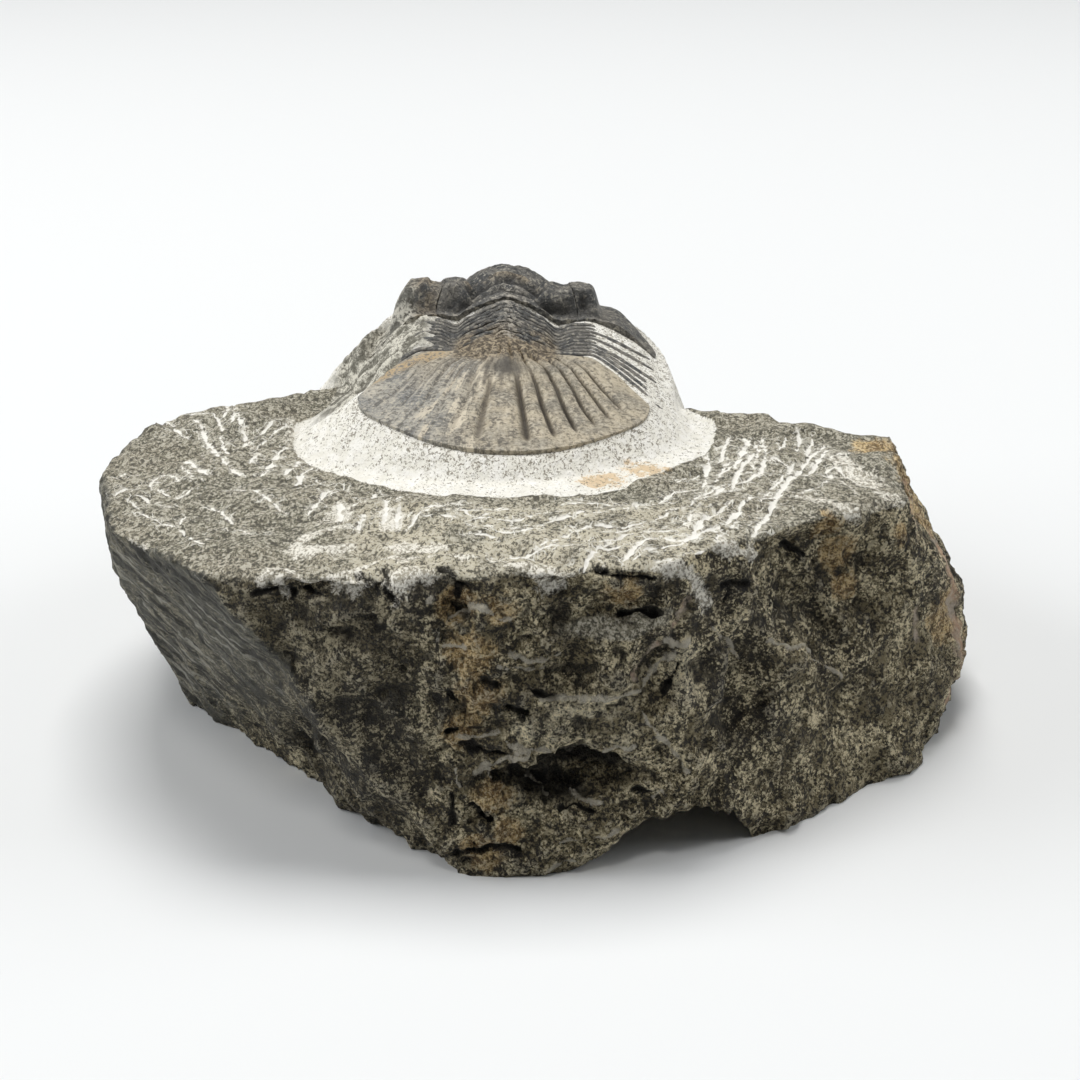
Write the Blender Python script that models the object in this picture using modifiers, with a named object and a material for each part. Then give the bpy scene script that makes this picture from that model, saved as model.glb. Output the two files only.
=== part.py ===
"""A Scutellum trilobite, prepared in relief on its broken block of limestone.

Lengths below are in millimetres and become metres where a mesh is made. The block stands on z = 0.
The fossil's axis runs along +Y, tail first, and X is measured from that axis wherever a plate of the shell is
described.
"""

import math

import bmesh
import bpy
from mathutils import Matrix, Vector, noise

MM = 0.001

# Block
BLOCK_TOP = 33.3
BLOCK_ROOT = -4.0
ROCK_VOXEL = 1.5
ROCK_TRIANGLES = 4850
BREAK_ROUGHNESS = 0.75
BREAK_GRAIN = 11.0
BOX_CENTRE = (0.022, 18.967)

# Fossil
AXIS_X = -4.7
TAIL_Y = 4.0
FAN_Y = 28.7
TAIL_FRONT_Y = 36.0
NECK_Y = 51.6
HEAD_FRONT_Y = 68.6
HALF_TAIL = 18.9
HALF_THORAX = 20.5
AXIS_HALF = 6.6
SHELL = 1.1
BED_GAP = 0.6
PLATE_GAP = 0.32
SEGMENTS = 10
RIB_PAIRS = 7
RIB_PITCH = math.radians(9.6)
RIB_RELIEF = 0.5
RIB_FLAT = 0.26
BODY_ROLL = 0.035
RING_DEPTH = 1.0
RING_FALL = 0.52
TROUGH = 0.8
TROUGH_REACH = 10.0
SHOULDER = 1.6
BEYOND_SHOULDER_FALL = 2.6
APRON_REACH = 9.0
TAIL_CURVE = 0.0046
PLEURA_BEND = 11.8


def smooth(low, high, value):
    """0 below low, 1 above high, and an S curve between."""
    t = min(max((value - low) / (high - low), 0.0), 1.0)
    return t * t * (3.0 - 2.0 * t)


def blend(points, value):
    """The height at a place, by straight lines through (place, height) points."""
    if value <= points[0][0]:
        return points[0][1]
    for (x0, y0), (x1, y1) in zip(points, points[1:]):
        if value <= x1:
            return y0 + (y1 - y0) * (value - x0) / (x1 - x0)
    return points[-1][1]


# Height of the shell's outer surface

AXIS_CREST = ((4, 35.1), (16, 36.9), (28.7, 38.7), (32, 39.7), (36, 40.7), (43, 41.3), (52, 41.8), (56, 43.3),
              (60, 44.4), (63, 44.1), (66, 42.2), (68.6, 38.6))
FLANK_CREST = ((4, 35.1), (16, 36.9), (28.7, 38.7), (36, 39.0), (44, 39.1), (52, 39.3), (60, 39.2),
               (68.6, 37.2))
PLEURA_DROP = ((0, 0), (11.6, 0.1), (14.5, 1.0), (17.5, 2.3), (20.5, 3.7), (26, 6.9))


def tail_drop(x):
    return TAIL_CURVE * x * x


def dorsal_furrow(x, y):
    """The furrow along each side of the thorax's axis."""
    return 0.7 * math.exp(-((abs(x) - 7.3) / 1.2) ** 2) * smooth(35.0, 38.0, y) * (1.0 - smooth(50.5, 53.0, y))


def lobe_width(y):
    """Half width of the raised axis at this place along the body."""
    return blend(((FAN_Y, 0.3), (TAIL_FRONT_Y, AXIS_HALF), (NECK_Y, AXIS_HALF + 0.1), (57, 6.6), (63, 8.8),
                  (HEAD_FRONT_Y, 8.4)), y)


def skin(x, y):
    """Height of the body's outer surface without its ribs, rings and eyes, for x from the axis."""
    thorax = smooth(27.0, 37.0, y + 0.35 * abs(x))
    drop = tail_drop(x) * (1.0 - thorax) + blend(PLEURA_DROP, abs(x)) * thorax
    flank = blend(FLANK_CREST, y) - drop
    rise = blend(AXIS_CREST, y) - blend(FLANK_CREST, y)
    lobe = max(0.0, 1.0 - (x / max(lobe_width(y), 0.3)) ** 2)
    return flank + rise * lobe ** 0.85 - BODY_ROLL * x - dorsal_furrow(x, y)


# Outline of the whole body, right half, from the tail forward

BODY_SIDE = ((0, 4), (5.2, 5.0), (10.2, 8), (14.6, 12.4), (17.8, 16.6), (18.9, 20.6), (19.4, 26), (20.3, 31),
             (20.8, 37), (20.9, 43), (20.4, 50), (18.8, 56.5), (15.2, 62.5), (9.6, 67), (0, 68.8))


def mirrored(half):
    """The closed outline whose right half is given, from one end of the axis to the other."""
    right = [Vector(point) for point in half]
    return right + [Vector((-p.x, p.y)) for p in reversed(right[1:-1])]


OUTLINE = mirrored(BODY_SIDE)


def outline_distance(x, y):
    """Distance from the body's outline, below zero inside it, and the nearest point on it."""
    spot = Vector((x, y))
    best, nearest, inside = 1e9, spot, False
    for a, b in zip(OUTLINE, OUTLINE[1:] + OUTLINE[:1]):
        side = b - a
        t = min(max((spot - a).dot(side) / side.length_squared, 0.0), 1.0)
        foot = a + side * t
        gap = (spot - foot).length
        if gap < best:
            best, nearest = gap, foot
        if (a.y > y) != (b.y > y) and x < a.x + (y - a.y) / (b.y - a.y) * (b.x - a.x):
            inside = not inside
    return (-best if inside else best), nearest


def ring_width(x, y):
    """Width of the pale abraded ring beyond the shell's edge."""
    behind = 9.6 - 1.2 * smooth(4.0, 17.0, abs(x))
    return behind + (3.4 - behind) * smooth(27.0, 38.0, y)


def trough(x, y):
    """How far the top of the block was ground down beyond the ring."""
    gap, _ = outline_distance(x, y)
    beyond = gap - ring_width(x, y)
    return TROUGH * (1.0 - smooth(0.0, TROUGH_REACH, beyond))


# Fracture faces of the block: a point on each and its outward direction

FRACTURES = (
    ("left flank", (-36, -30, 31), (-0.69, -0.56, -0.46)),
    ("left rear flank", (-56, 8, 30), (-0.90, 0.08, -0.32)),
    ("left edge", (-51, -8, 29), (-0.95, -0.24, -0.10)),
    ("left belly", (-51.5, 3, 14), (-0.90, -0.32, -0.30)),
    ("left top corner", (-54.5, 22, 30), (-0.93, 0.36, 0.08)),
    ("front left", (-36, -30.6, 31), (-0.167, -0.98, 0.118)),
    ("front middle", (-9.6, -35.6, 33), (0.115, -0.985, 0.104)),
    ("front right", (44, -5, 32), (0.66, -0.745, 0.10)),
    ("right foot", (46.5, -13, 0), (0.60, -0.79, -0.05)),
    ("right flank", (45, -4, 32), (0.88, -0.44, 0.18)),
    ("right shoulder", (45.5, 8, 30), (0.897, -0.037, 0.44)),
    ("right lobe", (55.4, 8, 10), (0.948, 0.207, 0.241)),
    ("right underside", (55.4, 8, 9), (0.92, -0.09, -0.38)),
    ("right flank foot", (50.9, 1.3, 0), (0.94, -0.35, -0.17)),
    ("right rear", (50, 34, 10), (0.80, 0.58, 0.16)),
    ("top", (0, 0, BLOCK_TOP), (0.0, 0.045, 0.999)),
    ("top left", (-10, 0, BLOCK_TOP), (-0.06, 0.03, 0.998)),
    ("top right", (18, 0, BLOCK_TOP), (0.06, 0.05, 0.997)),
    ("rear left slope", (-34, 40, 31), (-0.325, 0.38, 0.866)),
    ("rear right slope", (24, 39, 30), (0.30, 0.40, 0.866)),
    ("rear slope", (0, 66, 33), (0.0, 0.62, 0.78)),
    ("rear left", (-40, 52, 12), (-0.62, 0.76, -0.18)),
    ("back", (0, 74, 12), (0.10, 0.985, 0.14)),
    ("back right", (30, 64, 12), (0.55, 0.82, 0.12)),
)


def rock_top(x, y):
    """Height of the unprepared top: the lowest of the block's upper fracture faces here."""
    heights = []
    for _, point, direction in FRACTURES:
        if direction[2] > 0.7:
            run = direction[0] * (x + AXIS_X - point[0]) + direction[1] * (y - point[1])
            heights.append(point[2] - run / direction[2])
    return min(heights)


def bed(x, y):
    """Height of the prepared limestone, or None past it: the mould under the shell, and the ring round it."""
    gap, foot = outline_distance(x, y)
    if gap <= 0:
        return skin(x, y) - SHELL - BED_GAP
    side = smooth(29.0, 37.0, foot.y)
    beside_thorax = 0.4 * min(gap, SHOULDER) + BEYOND_SHOULDER_FALL * max(0.0, gap - SHOULDER)
    fall = RING_FALL * gap * (1.0 - side) + beside_thorax * side
    apron = skin(foot.x, foot.y) - SHELL - BED_GAP + 0.35 * min(gap, 1.0) - fall
    rock = rock_top(x, y)
    if gap < ring_width(x, y):
        return max(apron, rock - RING_DEPTH)
    return apron if gap < APRON_REACH and apron > rock else None


# Hollows where flakes came away: centre, half sizes, and turns in degrees about X, Y and Z

SCOOPS = (
    ("right upper hollow", (41.4, -25.0, 26.0), (20, 17, 12), (0, 15, 42)),
    ("right lower hollow", (40.4, -30.8, 10.0), (21, 17, 9.5), (0, 22, 42)),
    ("right of the ridge", (30.6, -36.6, 19.5), (8.5, 16, 12), (0, 8, 36)),
    ("left of the ridge", (13.4, -40.4, 22.5), (5.2, 8.5, 9.0), (0, 24, 6)),
    ("front top hollow", (8.5, -39.6, 30.8), (9.0, 7.0, 5.0), (0, 4, 8)),
    ("above the ledge", (3.5, -42.4, 24.5), (9.5, 8.5, 6.0), (0, -14, 6)),
    ("ledge cavity", (4.6, -36.6, 11.4), (6.2, 6.0, 2.6), (-14, -3, 5)),
    ("lower cavity", (-1.2, -40.6, 7.2), (5.6, 5.2, 2.2), (-10, 27, 5)),
    ("underside arch", (17.5, -33.0, -2.6), (8.5, 12.0, 8.2), (0, 0, -35)),
    ("ochre pit", (34.5, -15.5, 29.5), (3.4, 4.0, 5.5), (0, 14, -40)),
    ("left face hollow", (-23.0, -39.4, 27.5), (9.0, 6.5, 5.0), (0, 8, -5)),
    ("left face lower hollow", (-17.0, -42.8, 14.0), (6.5, 6.5, 9.0), (0, 12, 0)),
    ("rear hollow", (-16.0, 88.0, 16.0), (20, 19, 13), (0, 0, 10)),
    ("rear right hollow", (52.0, 66.0, 24.0), (17, 15, 12), (0, 10, 35)),
    ("left rear hollow", (-66.0, 36.0, 14.0), (16, 14, 10), (0, 0, 15)),
)


def start_clean():
    for obj in list(bpy.data.objects):
        bpy.data.objects.remove(obj, do_unlink=True)
    for group in list(bpy.data.collections):
        bpy.data.collections.remove(group)


def collection(name):
    group = bpy.data.collections.new(name)
    bpy.context.scene.collection.children.link(group)
    return group


def material(name, colour, roughness):
    made = bpy.data.materials.new(name)
    made.use_nodes = True
    shader = made.node_tree.nodes["Principled BSDF"]
    shader.inputs["Base Color"].default_value = (*colour, 1.0)
    shader.inputs["Roughness"].default_value = roughness
    shader.inputs["Metallic"].default_value = 0.0
    return made


def add_object(name, bm, group, finish):
    """A named object in metres from a bmesh in millimetres, with its normals facing out."""
    bmesh.ops.recalc_face_normals(bm, faces=bm.faces)
    bm.transform(Matrix.Scale(MM, 4))
    mesh = bpy.data.meshes.new(name)
    bm.to_mesh(mesh)
    bm.free()
    obj = bpy.data.objects.new(name, mesh)
    group.objects.link(obj)
    if finish:
        mesh.materials.append(finish)
    return obj


def bake(obj):
    """Replaces the object's mesh by what its modifiers make of it, and drops them."""
    graph = bpy.context.evaluated_depsgraph_get()
    mesh = bpy.data.meshes.new_from_object(obj.evaluated_get(graph))
    old = obj.data
    obj.modifiers.clear()
    obj.data = mesh
    bpy.data.meshes.remove(old)


# Block

def cut_face(bm, point, direction):
    """Cuts away what lies beyond the plane, and closes the cut."""
    geometry = bm.verts[:] + bm.edges[:] + bm.faces[:]
    cut = bmesh.ops.bisect_plane(bm, geom=geometry, plane_co=point, plane_no=direction, clear_outer=True)
    rim = [item for item in cut["geom_cut"] if isinstance(item, bmesh.types.BMEdge)]
    if rim:
        bmesh.ops.edgeloop_fill(bm, edges=rim)


def rough_block(group):
    bm = bmesh.new()
    bmesh.ops.create_cube(bm, size=1.0)
    bmesh.ops.scale(bm, vec=(150, 150, 60), verts=bm.verts)
    bmesh.ops.translate(bm, vec=(0, 20, 30 + BLOCK_ROOT), verts=bm.verts)
    for _, point, direction in FRACTURES:
        cut_face(bm, Vector(point), Vector(direction).normalized())
    return add_object("matrix", bm, group, None)


def add_scoops(block, group):
    for name, centre, halves, turns in SCOOPS:
        bm = bmesh.new()
        bmesh.ops.create_uvsphere(bm, u_segments=28, v_segments=16, radius=1.0)
        bmesh.ops.scale(bm, vec=halves, verts=bm.verts)
        turn = Matrix.Rotation(math.radians(turns[2]), 4, "Z")
        turn = turn @ Matrix.Rotation(math.radians(turns[1]), 4, "Y")
        turn = turn @ Matrix.Rotation(math.radians(turns[0]), 4, "X")
        bm.transform(Matrix.Translation(centre) @ turn)
        cutter = add_object(name.replace(" ", "_"), bm, group, None)
        cutter.hide_render = True
        cutter.display_type = "WIRE"
        cut = block.modifiers.new(name, "BOOLEAN")
        cut.operation = "DIFFERENCE"
        cut.object = cutter


def break_surface(bm):
    """Moves the rock's points: fracture relief on the sides, the prepared bed round the fossil on top."""
    bm.normal_update()
    moves = []
    for vert in bm.verts:
        x, y, z = vert.co
        away = vert.normal
        relief = noise.fractal(vert.co / BREAK_GRAIN, 0.9, 2.2, 3)
        relief += 0.5 * (noise.noise(Vector((x, y, 2.5 * z)) / 5.0) - 0.1)
        prepared = bed(x - AXIS_X, y) if away.z > 0.55 and z > 20 else None
        if prepared is not None:
            moves.append(Vector((x, y, prepared)))
            continue
        flat_top = smooth(0.75, 0.97, away.z) * smooth(20, 26, z)
        moved = vert.co + away * relief * BREAK_ROUGHNESS * (1.0 - 0.65 * flat_top)
        moved.z -= trough(x - AXIS_X, y) * flat_top
        moves.append(moved)
    for vert, place in zip(bm.verts, moves):
        vert.co = place


def build_matrix(parts, cutters, finish):
    block = rough_block(parts)
    add_scoops(block, cutters)
    remesh = block.modifiers.new("even_mesh", "REMESH")
    remesh.mode = "VOXEL"
    remesh.voxel_size = ROCK_VOXEL * MM
    bake(block)
    bm = bmesh.new()
    bm.from_mesh(block.data)
    bm.transform(Matrix.Scale(1.0 / MM, 4))
    break_surface(bm)
    bm.transform(Matrix.Scale(MM, 4))
    bmesh.ops.triangulate(bm, faces=bm.faces)
    count = len(bm.faces)
    bm.to_mesh(block.data)
    bm.free()
    keep = block.vertex_groups.new(name="bed")
    for vert in block.data.vertices:
        place = vert.co / MM
        gap, _ = outline_distance(place.x - AXIS_X, place.y)
        keep.add([vert.index], 0.25 if gap < 1.5 and place.z > 30 else 1.0, "REPLACE")
    fewer = block.modifiers.new("fewer", "DECIMATE")
    fewer.ratio = ROCK_TRIANGLES / count
    fewer.vertex_group = keep.name
    fewer.vertex_group_factor = 1.0
    bake(block)
    bm = bmesh.new()
    bm.from_mesh(block.data)
    cut_face(bm, Vector((0, 0, 0)), Vector((0, 0, -1)))
    bmesh.ops.recalc_face_normals(bm, faces=bm.faces)
    bm.to_mesh(block.data)
    bm.free()
    block.data.materials.clear()
    block.data.materials.append(finish)
    return block


# Plates of the shell

def tail_outline():
    """Right half of the tail shield's edge, from the front of the axis round to the tail's tip."""
    return ((0, 35.9), (3.4, 35.3), (AXIS_HALF, 34.2), (9.4, 33.9), (11.4, 33.5), (14.2, 30.8), (16.6, 26.9),
            (HALF_TAIL - 0.4, 22.6), (HALF_TAIL, 20.6), (17.8, 16.6), (14.6, 12.4), (10.2, 8.0), (5.2, 5.0),
            (0, TAIL_Y))


def polygon_radius(outline, centre, angle):
    """How far the closed outline lies from the centre in this direction."""
    ray = Vector((math.cos(angle), math.sin(angle)))
    best = 0.0
    for a, b in zip(outline, outline[1:] + outline[:1]):
        side = b - a
        across = ray.x * side.y - ray.y * side.x
        if abs(across) < 1e-9:
            continue
        rel = a - centre
        far = (rel.x * side.y - rel.y * side.x) / across
        along = (rel.x * ray.y - rel.y * ray.x) / across
        if -1e-6 <= along <= 1 + 1e-6:
            best = max(best, far)
    return best


def fan_plate(outline, centre, angles, steps, top, thickness):
    """A closed plate on a polar grid: its top follows the function, its underside lies that far below."""
    bm = bmesh.new()

    def rings(height):
        middle = bm.verts.new((centre.x + AXIS_X, centre.y, height(centre.x, centre.y)))
        rows = []
        for step in steps:
            row = []
            for angle in angles:
                reach = polygon_radius(outline, centre, angle) * step
                x, y = centre.x + reach * math.cos(angle), centre.y + reach * math.sin(angle)
                row.append(bm.verts.new((x + AXIS_X, y, height(x, y))))
            rows.append(row)
        return middle, rows

    def skin_faces(middle, rows, flip):
        count = len(angles)
        for i in range(count):
            j = (i + 1) % count
            faces = [(middle, rows[0][i], rows[0][j])]
            faces += [(a[i], b[i], b[j], a[j]) for a, b in zip(rows, rows[1:])]
            for face in faces:
                bm.faces.new(face[::-1] if flip else face)

    upper, upper_rows = rings(top)
    lower, lower_rows = rings(lambda x, y: skin(x, y) - thickness)
    skin_faces(upper, upper_rows, False)
    skin_faces(lower, lower_rows, True)
    edge, under = upper_rows[-1], lower_rows[-1]
    for i in range(len(angles)):
        j = (i + 1) % len(angles)
        bm.faces.new((edge[j], edge[i], under[i], under[j]))
    return bm


def tail_top(x, y):
    """Tail shield: flat ribs parted by narrow furrows, fanning out from the end of the axis."""
    reach = math.hypot(x, FAN_Y - y)
    angle = math.atan2(x, FAN_Y - y)
    rib = angle / RIB_PITCH
    inside = smooth(1.5, 6.0, reach) * (1.0 - smooth(RIB_PAIRS + 0.2, RIB_PAIRS + 0.6, abs(rib)))
    furrow = smooth(RIB_FLAT, 0.5, abs(rib - round(rib)))
    groove = RIB_RELIEF * furrow * inside
    return skin(x, y) - groove


def build_tail(group, finish):
    angles = [-math.pi / 2 - RIB_PITCH * (RIB_PAIRS + 0.5)]
    for rib in range(-RIB_PAIRS, RIB_PAIRS + 1):
        angles += [-math.pi / 2 + RIB_PITCH * (rib + part) for part in (-RIB_FLAT, RIB_FLAT, 0.5)]
    last = angles[-1]
    span = 2.0 * math.pi - (angles[-1] - angles[0])
    front = 16
    angles += [last + span * (i + 1) / (front + 1) for i in range(front)]
    outline = mirrored(tail_outline())
    steps = (0.12, 0.3, 0.5, 0.7, 0.86, 0.97, 1.0)
    bm = fan_plate(outline, Vector((0, FAN_Y)), angles, steps, tail_top, SHELL)
    return add_object("pygidium", bm, group, finish)


def segment_line(k):
    """Centre line of one thoracic segment, tip to tip: (x, y, half width) stations."""
    pitch = (NECK_Y - TAIL_FRONT_Y) / SEGMENTS
    y = NECK_Y - (k - 0.5) * pitch
    sweep = 5.6 + 4.6 * (k - 1) / (SEGMENTS - 1)
    half = 0.5 * (pitch - PLATE_GAP)
    right = [(0.0, y + 0.5, half), (3.4, y - 0.5, 0.95 * half), (AXIS_HALF, y - 1.6, 0.95 * half),
             (9.4, y - 1.4, half), (PLEURA_BEND, y - 1.3, half)]
    reach = HALF_THORAX - 1.3 * math.exp(-0.6 * (k - 1))
    for t, width in ((0.25, 0.72), (0.5, 0.62), (0.75, 0.52), (0.93, 0.36), (1.0, 0.15)):
        right.append((PLEURA_BEND + (reach - PLEURA_BEND) * t, y - 1.3 - sweep * t ** 1.15, half * width))
    left = [(-x, place, width) for x, place, width in reversed(right[1:])]
    return left + right


def build_segment(k, group, finish):
    stations = segment_line(k)
    across = ((-1.0, -0.32), (-0.45, 0.0), (0.45, 0.0), (1.0, -0.32), (1.0, -SHELL), (-1.0, -SHELL))
    bm = bmesh.new()
    rows = []
    for i, (x, y, half) in enumerate(stations):
        before, after = stations[max(i - 1, 0)], stations[min(i + 1, len(stations) - 1)]
        along = Vector((after[0] - before[0], after[1] - before[1])).normalized()
        side = Vector((-along.y, along.x))
        row = []
        for offset, lift in across:
            px, py = x + side.x * offset * half, y + side.y * offset * half
            row.append(bm.verts.new((px + AXIS_X, py, skin(px, py) + lift)))
        rows.append(row)
    count = len(across)
    for a, b in zip(rows, rows[1:]):
        for i in range(count):
            j = (i + 1) % count
            bm.faces.new((a[i], b[i], b[j], a[j]))
    bm.faces.new(rows[0])
    bm.faces.new(rows[-1][::-1])
    return add_object(f"thoracic_segment_{k:02d}", bm, group, finish)


# Head shield

def eye_mound(x, y, side):
    """The raised eye and the lobe beside it, longer on the left than on the right."""
    inner, outer, height = (5.2, 12.6, 3.7) if side > 0 else (5.6, 16.0, 3.9)
    across = smooth(inner - 1.2, inner + 2.0, side * x) * (1.0 - smooth(outer - 0.9, outer + 0.1, side * x))
    along = smooth(52.4, 54.4, y) * (1.0 - smooth(58.6, 61.2, y))
    return height * across * along


def head_top(x, y):
    eye = eye_mound(x, y, 1.0) + eye_mound(x, y, -1.0)
    neck = 0.55 * math.exp(-((y - 53.6) / 0.7) ** 2) * (1.0 - smooth(5.5, 7.5, abs(x)))
    return skin(x, y) + eye - neck


def ring_angles(count):
    return [2.0 * math.pi * i / count for i in range(count)]


def build_cranidium(group, finish):
    half = ((0, 52.2), (6.0, 51.8), (9.4, 51.7), (9.7, 53.0), (8.85, 55.0), (8.85, 58.5), (9.7, 61.5),
            (10.7, 64.6), (8.6, 66.9), (4.5, 68.2), (0, HEAD_FRONT_Y))
    steps = (0.2, 0.42, 0.62, 0.8, 0.93, 1.0)
    bm = fan_plate(mirrored(half), Vector((0, 59.0)), ring_angles(36), steps, head_top, SHELL)
    return add_object("cranidium", bm, group, finish)


def build_cheek(name, side, group, finish):
    """One free cheek: outside the facial suture, with its eye, and with a genal spine on the right."""
    suture = [(10.0, 51.6), (10.1, 53.0), (9.15, 55.1), (9.15, 58.4), (10.1, 61.3), (11.1, 64.4)]
    rim = [(12.6, 64.4), (15.4, 61.8), (18.6, 56.4), (20.3, 50.0)]
    spine = [(21.1, 46.0), (21.0, 43.2), (20.4, 43.2), (19.7, 46.6)] if side > 0 else [(19.6, 48.0)]
    hind = [(17.8, 48.9), (14.6, 50.6), (12.0, 51.4)]
    outline = [Vector((side * x, y)) for x, y in suture + rim + spine + hind]
    centre = Vector((side * 14.2, 56.0))
    angles = sorted(math.atan2(p.y - centre.y, p.x - centre.x) for p in outline)
    angles += [a + 0.5 * (b - a) for a, b in zip(angles, angles[1:]) if b - a > 0.22]
    bm = fan_plate(outline, centre, sorted(angles), (0.3, 0.58, 0.8, 0.94, 1.0), head_top, SHELL)
    return add_object(name, bm, group, finish)


def centre_over_origin(*groups):
    """Puts the middle of the whole object's box over the origin, at the height where it already stands."""
    shift = Matrix.Translation((-BOX_CENTRE[0] * MM, -BOX_CENTRE[1] * MM, 0.0))
    for group in groups:
        for obj in group.objects:
            obj.data.transform(shift)


def main():
    start_clean()
    parts = collection("trilobite_on_matrix")
    cutters = collection("cutters")
    limestone = material("limestone", (0.13, 0.12, 0.10), 0.9)
    shell = material("shell", (0.06, 0.06, 0.06), 0.55)
    tail_shell = material("tail_shell", (0.14, 0.12, 0.09), 0.6)
    build_matrix(parts, cutters, limestone)
    build_tail(parts, tail_shell)
    for k in range(1, SEGMENTS + 1):
        build_segment(k, parts, shell)
    build_cranidium(parts, shell)
    build_cheek("right_free_cheek", 1.0, parts, shell)
    build_cheek("left_free_cheek", -1.0, parts, shell)
    centre_over_origin(parts, cutters)


main()
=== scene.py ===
"""The looks of a Scutellum trilobite, prepared in relief on its broken block of limestone.

Lengths are in millimetres until a mesh is made. Places are in the block's own frame, where the fossil's axis
stands at AXIS_X and runs along +Y, tail first. On the shell, x is measured from that axis.
"""

import math

import bpy
import numpy as np
from mathutils import Euler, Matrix, Vector, kdtree, noise
from mathutils.bvhtree import BVHTree


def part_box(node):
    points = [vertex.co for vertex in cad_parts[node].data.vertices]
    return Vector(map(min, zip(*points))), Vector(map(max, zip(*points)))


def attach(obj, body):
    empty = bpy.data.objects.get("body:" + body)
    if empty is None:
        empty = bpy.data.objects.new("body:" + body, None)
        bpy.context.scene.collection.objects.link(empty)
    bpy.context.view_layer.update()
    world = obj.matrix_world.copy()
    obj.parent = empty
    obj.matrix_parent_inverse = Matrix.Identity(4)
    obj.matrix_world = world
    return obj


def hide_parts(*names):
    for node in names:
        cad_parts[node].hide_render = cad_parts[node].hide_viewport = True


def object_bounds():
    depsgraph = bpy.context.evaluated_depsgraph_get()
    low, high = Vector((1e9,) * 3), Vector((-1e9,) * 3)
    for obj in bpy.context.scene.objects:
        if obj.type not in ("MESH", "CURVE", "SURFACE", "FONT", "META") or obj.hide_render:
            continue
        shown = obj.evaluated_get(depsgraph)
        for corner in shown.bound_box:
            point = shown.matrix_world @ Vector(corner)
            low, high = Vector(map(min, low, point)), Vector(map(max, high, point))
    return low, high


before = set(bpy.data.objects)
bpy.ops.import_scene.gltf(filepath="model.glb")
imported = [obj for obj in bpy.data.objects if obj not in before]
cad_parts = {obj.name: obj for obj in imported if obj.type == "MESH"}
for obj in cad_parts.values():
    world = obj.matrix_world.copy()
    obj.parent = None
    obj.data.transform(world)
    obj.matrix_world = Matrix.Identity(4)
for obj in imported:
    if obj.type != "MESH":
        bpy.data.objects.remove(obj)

MM = 0.001
CAD_LOW, CAD_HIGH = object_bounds()

# Fossil
AXIS_X = -4.7
TAIL_Y = 4.0
FAN_Y = 28.7
TAIL_FRONT_Y = 36.0
NECK_Y = 51.6
HEAD_FRONT_Y = 68.6
HALF_TAIL = 18.9
HALF_THORAX = 20.5
AXIS_HALF = 6.6
SHELL = 1.1
SEGMENTS = 10
PLATE_GAP = 0.3
PLEURA_BEND = 11.8
TIP_FAN = 0.1136
COVERED = (1, 2, 4, 6)
FAN_HALF_TURN = math.radians(72.0)
RIB_FLAT = 0.31
RIB_DEPTH = 0.9
BODY_ROLL = 0.035
TAIL_CURVE = 0.0046
CREST_EASE = 1.1

# Prepared limestone round the fossil
RING_DEPTH = 1.0
RING_START = 0.42
RING_FALL = 0.68
SHOULDER = 2.1
SHOULDER_FALL = 2.6
APRON_REACH = 9.0
STRIP_DEPTH = 0.42
TROUGH = 0.8
TROUGH_REACH = 10.0

# Tool grooves
GROOVE_DEPTH = 0.26
GROOVE_STEP = 0.15

# The camera sees VIEW units across and down. Marks on the front: the step along one in them, and relief
VIEW = 1080.0
MARK_STEP = 1.5
LIP_HEIGHT = 0.25
CRACK_DEPTH = 0.9

# Block
BLOCK_TOP = 33.3
BLOCK_ROOT = -4.0
ROCK_VOXEL = 1.1
BREAK_ROUGHNESS = 0.75
BREAK_GRAIN = 11.0
# Given as the distance, in half widths, where no mark is near
FAR = 9.0

# Head: its cross furrows and the fold between them, and how they bend back away from the axis
NECK_FURROW_Y = 54.2
LOBE_FURROW_Y = 56.0
FOLD_Y = 57.4
FURROW_BEND = 0.035

CAMERA_PLACE = (-0.000022, -0.266364, 0.119968)
CAMERA_TILT = math.radians(69.0)
CAMERA_LENS = 72.2
SENSOR = 36.0

tail_low, tail_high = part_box("pygidium")
OVER_ORIGIN = Vector((0.5 * (tail_low.x + tail_high.x) - AXIS_X * MM, tail_low.y - TAIL_Y * MM, 0.0))


# Measures shared by the rock and the shell

def smooth(low, high, value):
    """0 below low, 1 above high, and an S curve between."""
    t = np.clip((value - low) / (high - low), 0.0, 1.0)
    return t * t * (3.0 - 2.0 * t)


def bell(value, centre, half):
    """1 at the centre, falling away on both sides over about this half width."""
    return np.exp(-((value - centre) / half) ** 2)


def blend(points, value):
    """The height at a place, by straight lines through (place, height) points."""
    places, heights = zip(*points)
    return np.interp(value, places, heights)


def eased(points, value, ease=CREST_EASE):
    """As blend, with its corners rounded over this distance."""
    return 0.25 * (blend(points, value - ease) + 2.0 * blend(points, value) + blend(points, value + ease))


AXIS_CREST = ((-20, 31.5), (4, 35.1), (16, 36.9), (28.7, 38.7), (32, 39.7), (36, 40.7), (43, 41.3),
              (52, 41.8), (56, 43.3), (60, 44.4), (63, 44.1), (66, 42.2), (68.6, 38.6), (90, 9.0))
FLANK_CREST = ((-20, 31.5), (4, 35.1), (16, 36.9), (28.7, 38.7), (36, 39.0), (44, 39.1), (52, 39.3),
               (60, 39.2), (68.6, 37.2), (90, 32.2))
PLEURA_DROP = ((0, 0), (11.6, 0.1), (14.5, 1.0), (17.5, 2.3), (20.5, 3.7), (26, 6.9), (40, 15.0))
LOBE_WIDTH = ((FAN_Y, 0.3), (TAIL_FRONT_Y, AXIS_HALF), (NECK_Y, AXIS_HALF + 0.1), (57, 6.6), (63, 8.8),
              (HEAD_FRONT_Y, 8.4))


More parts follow.
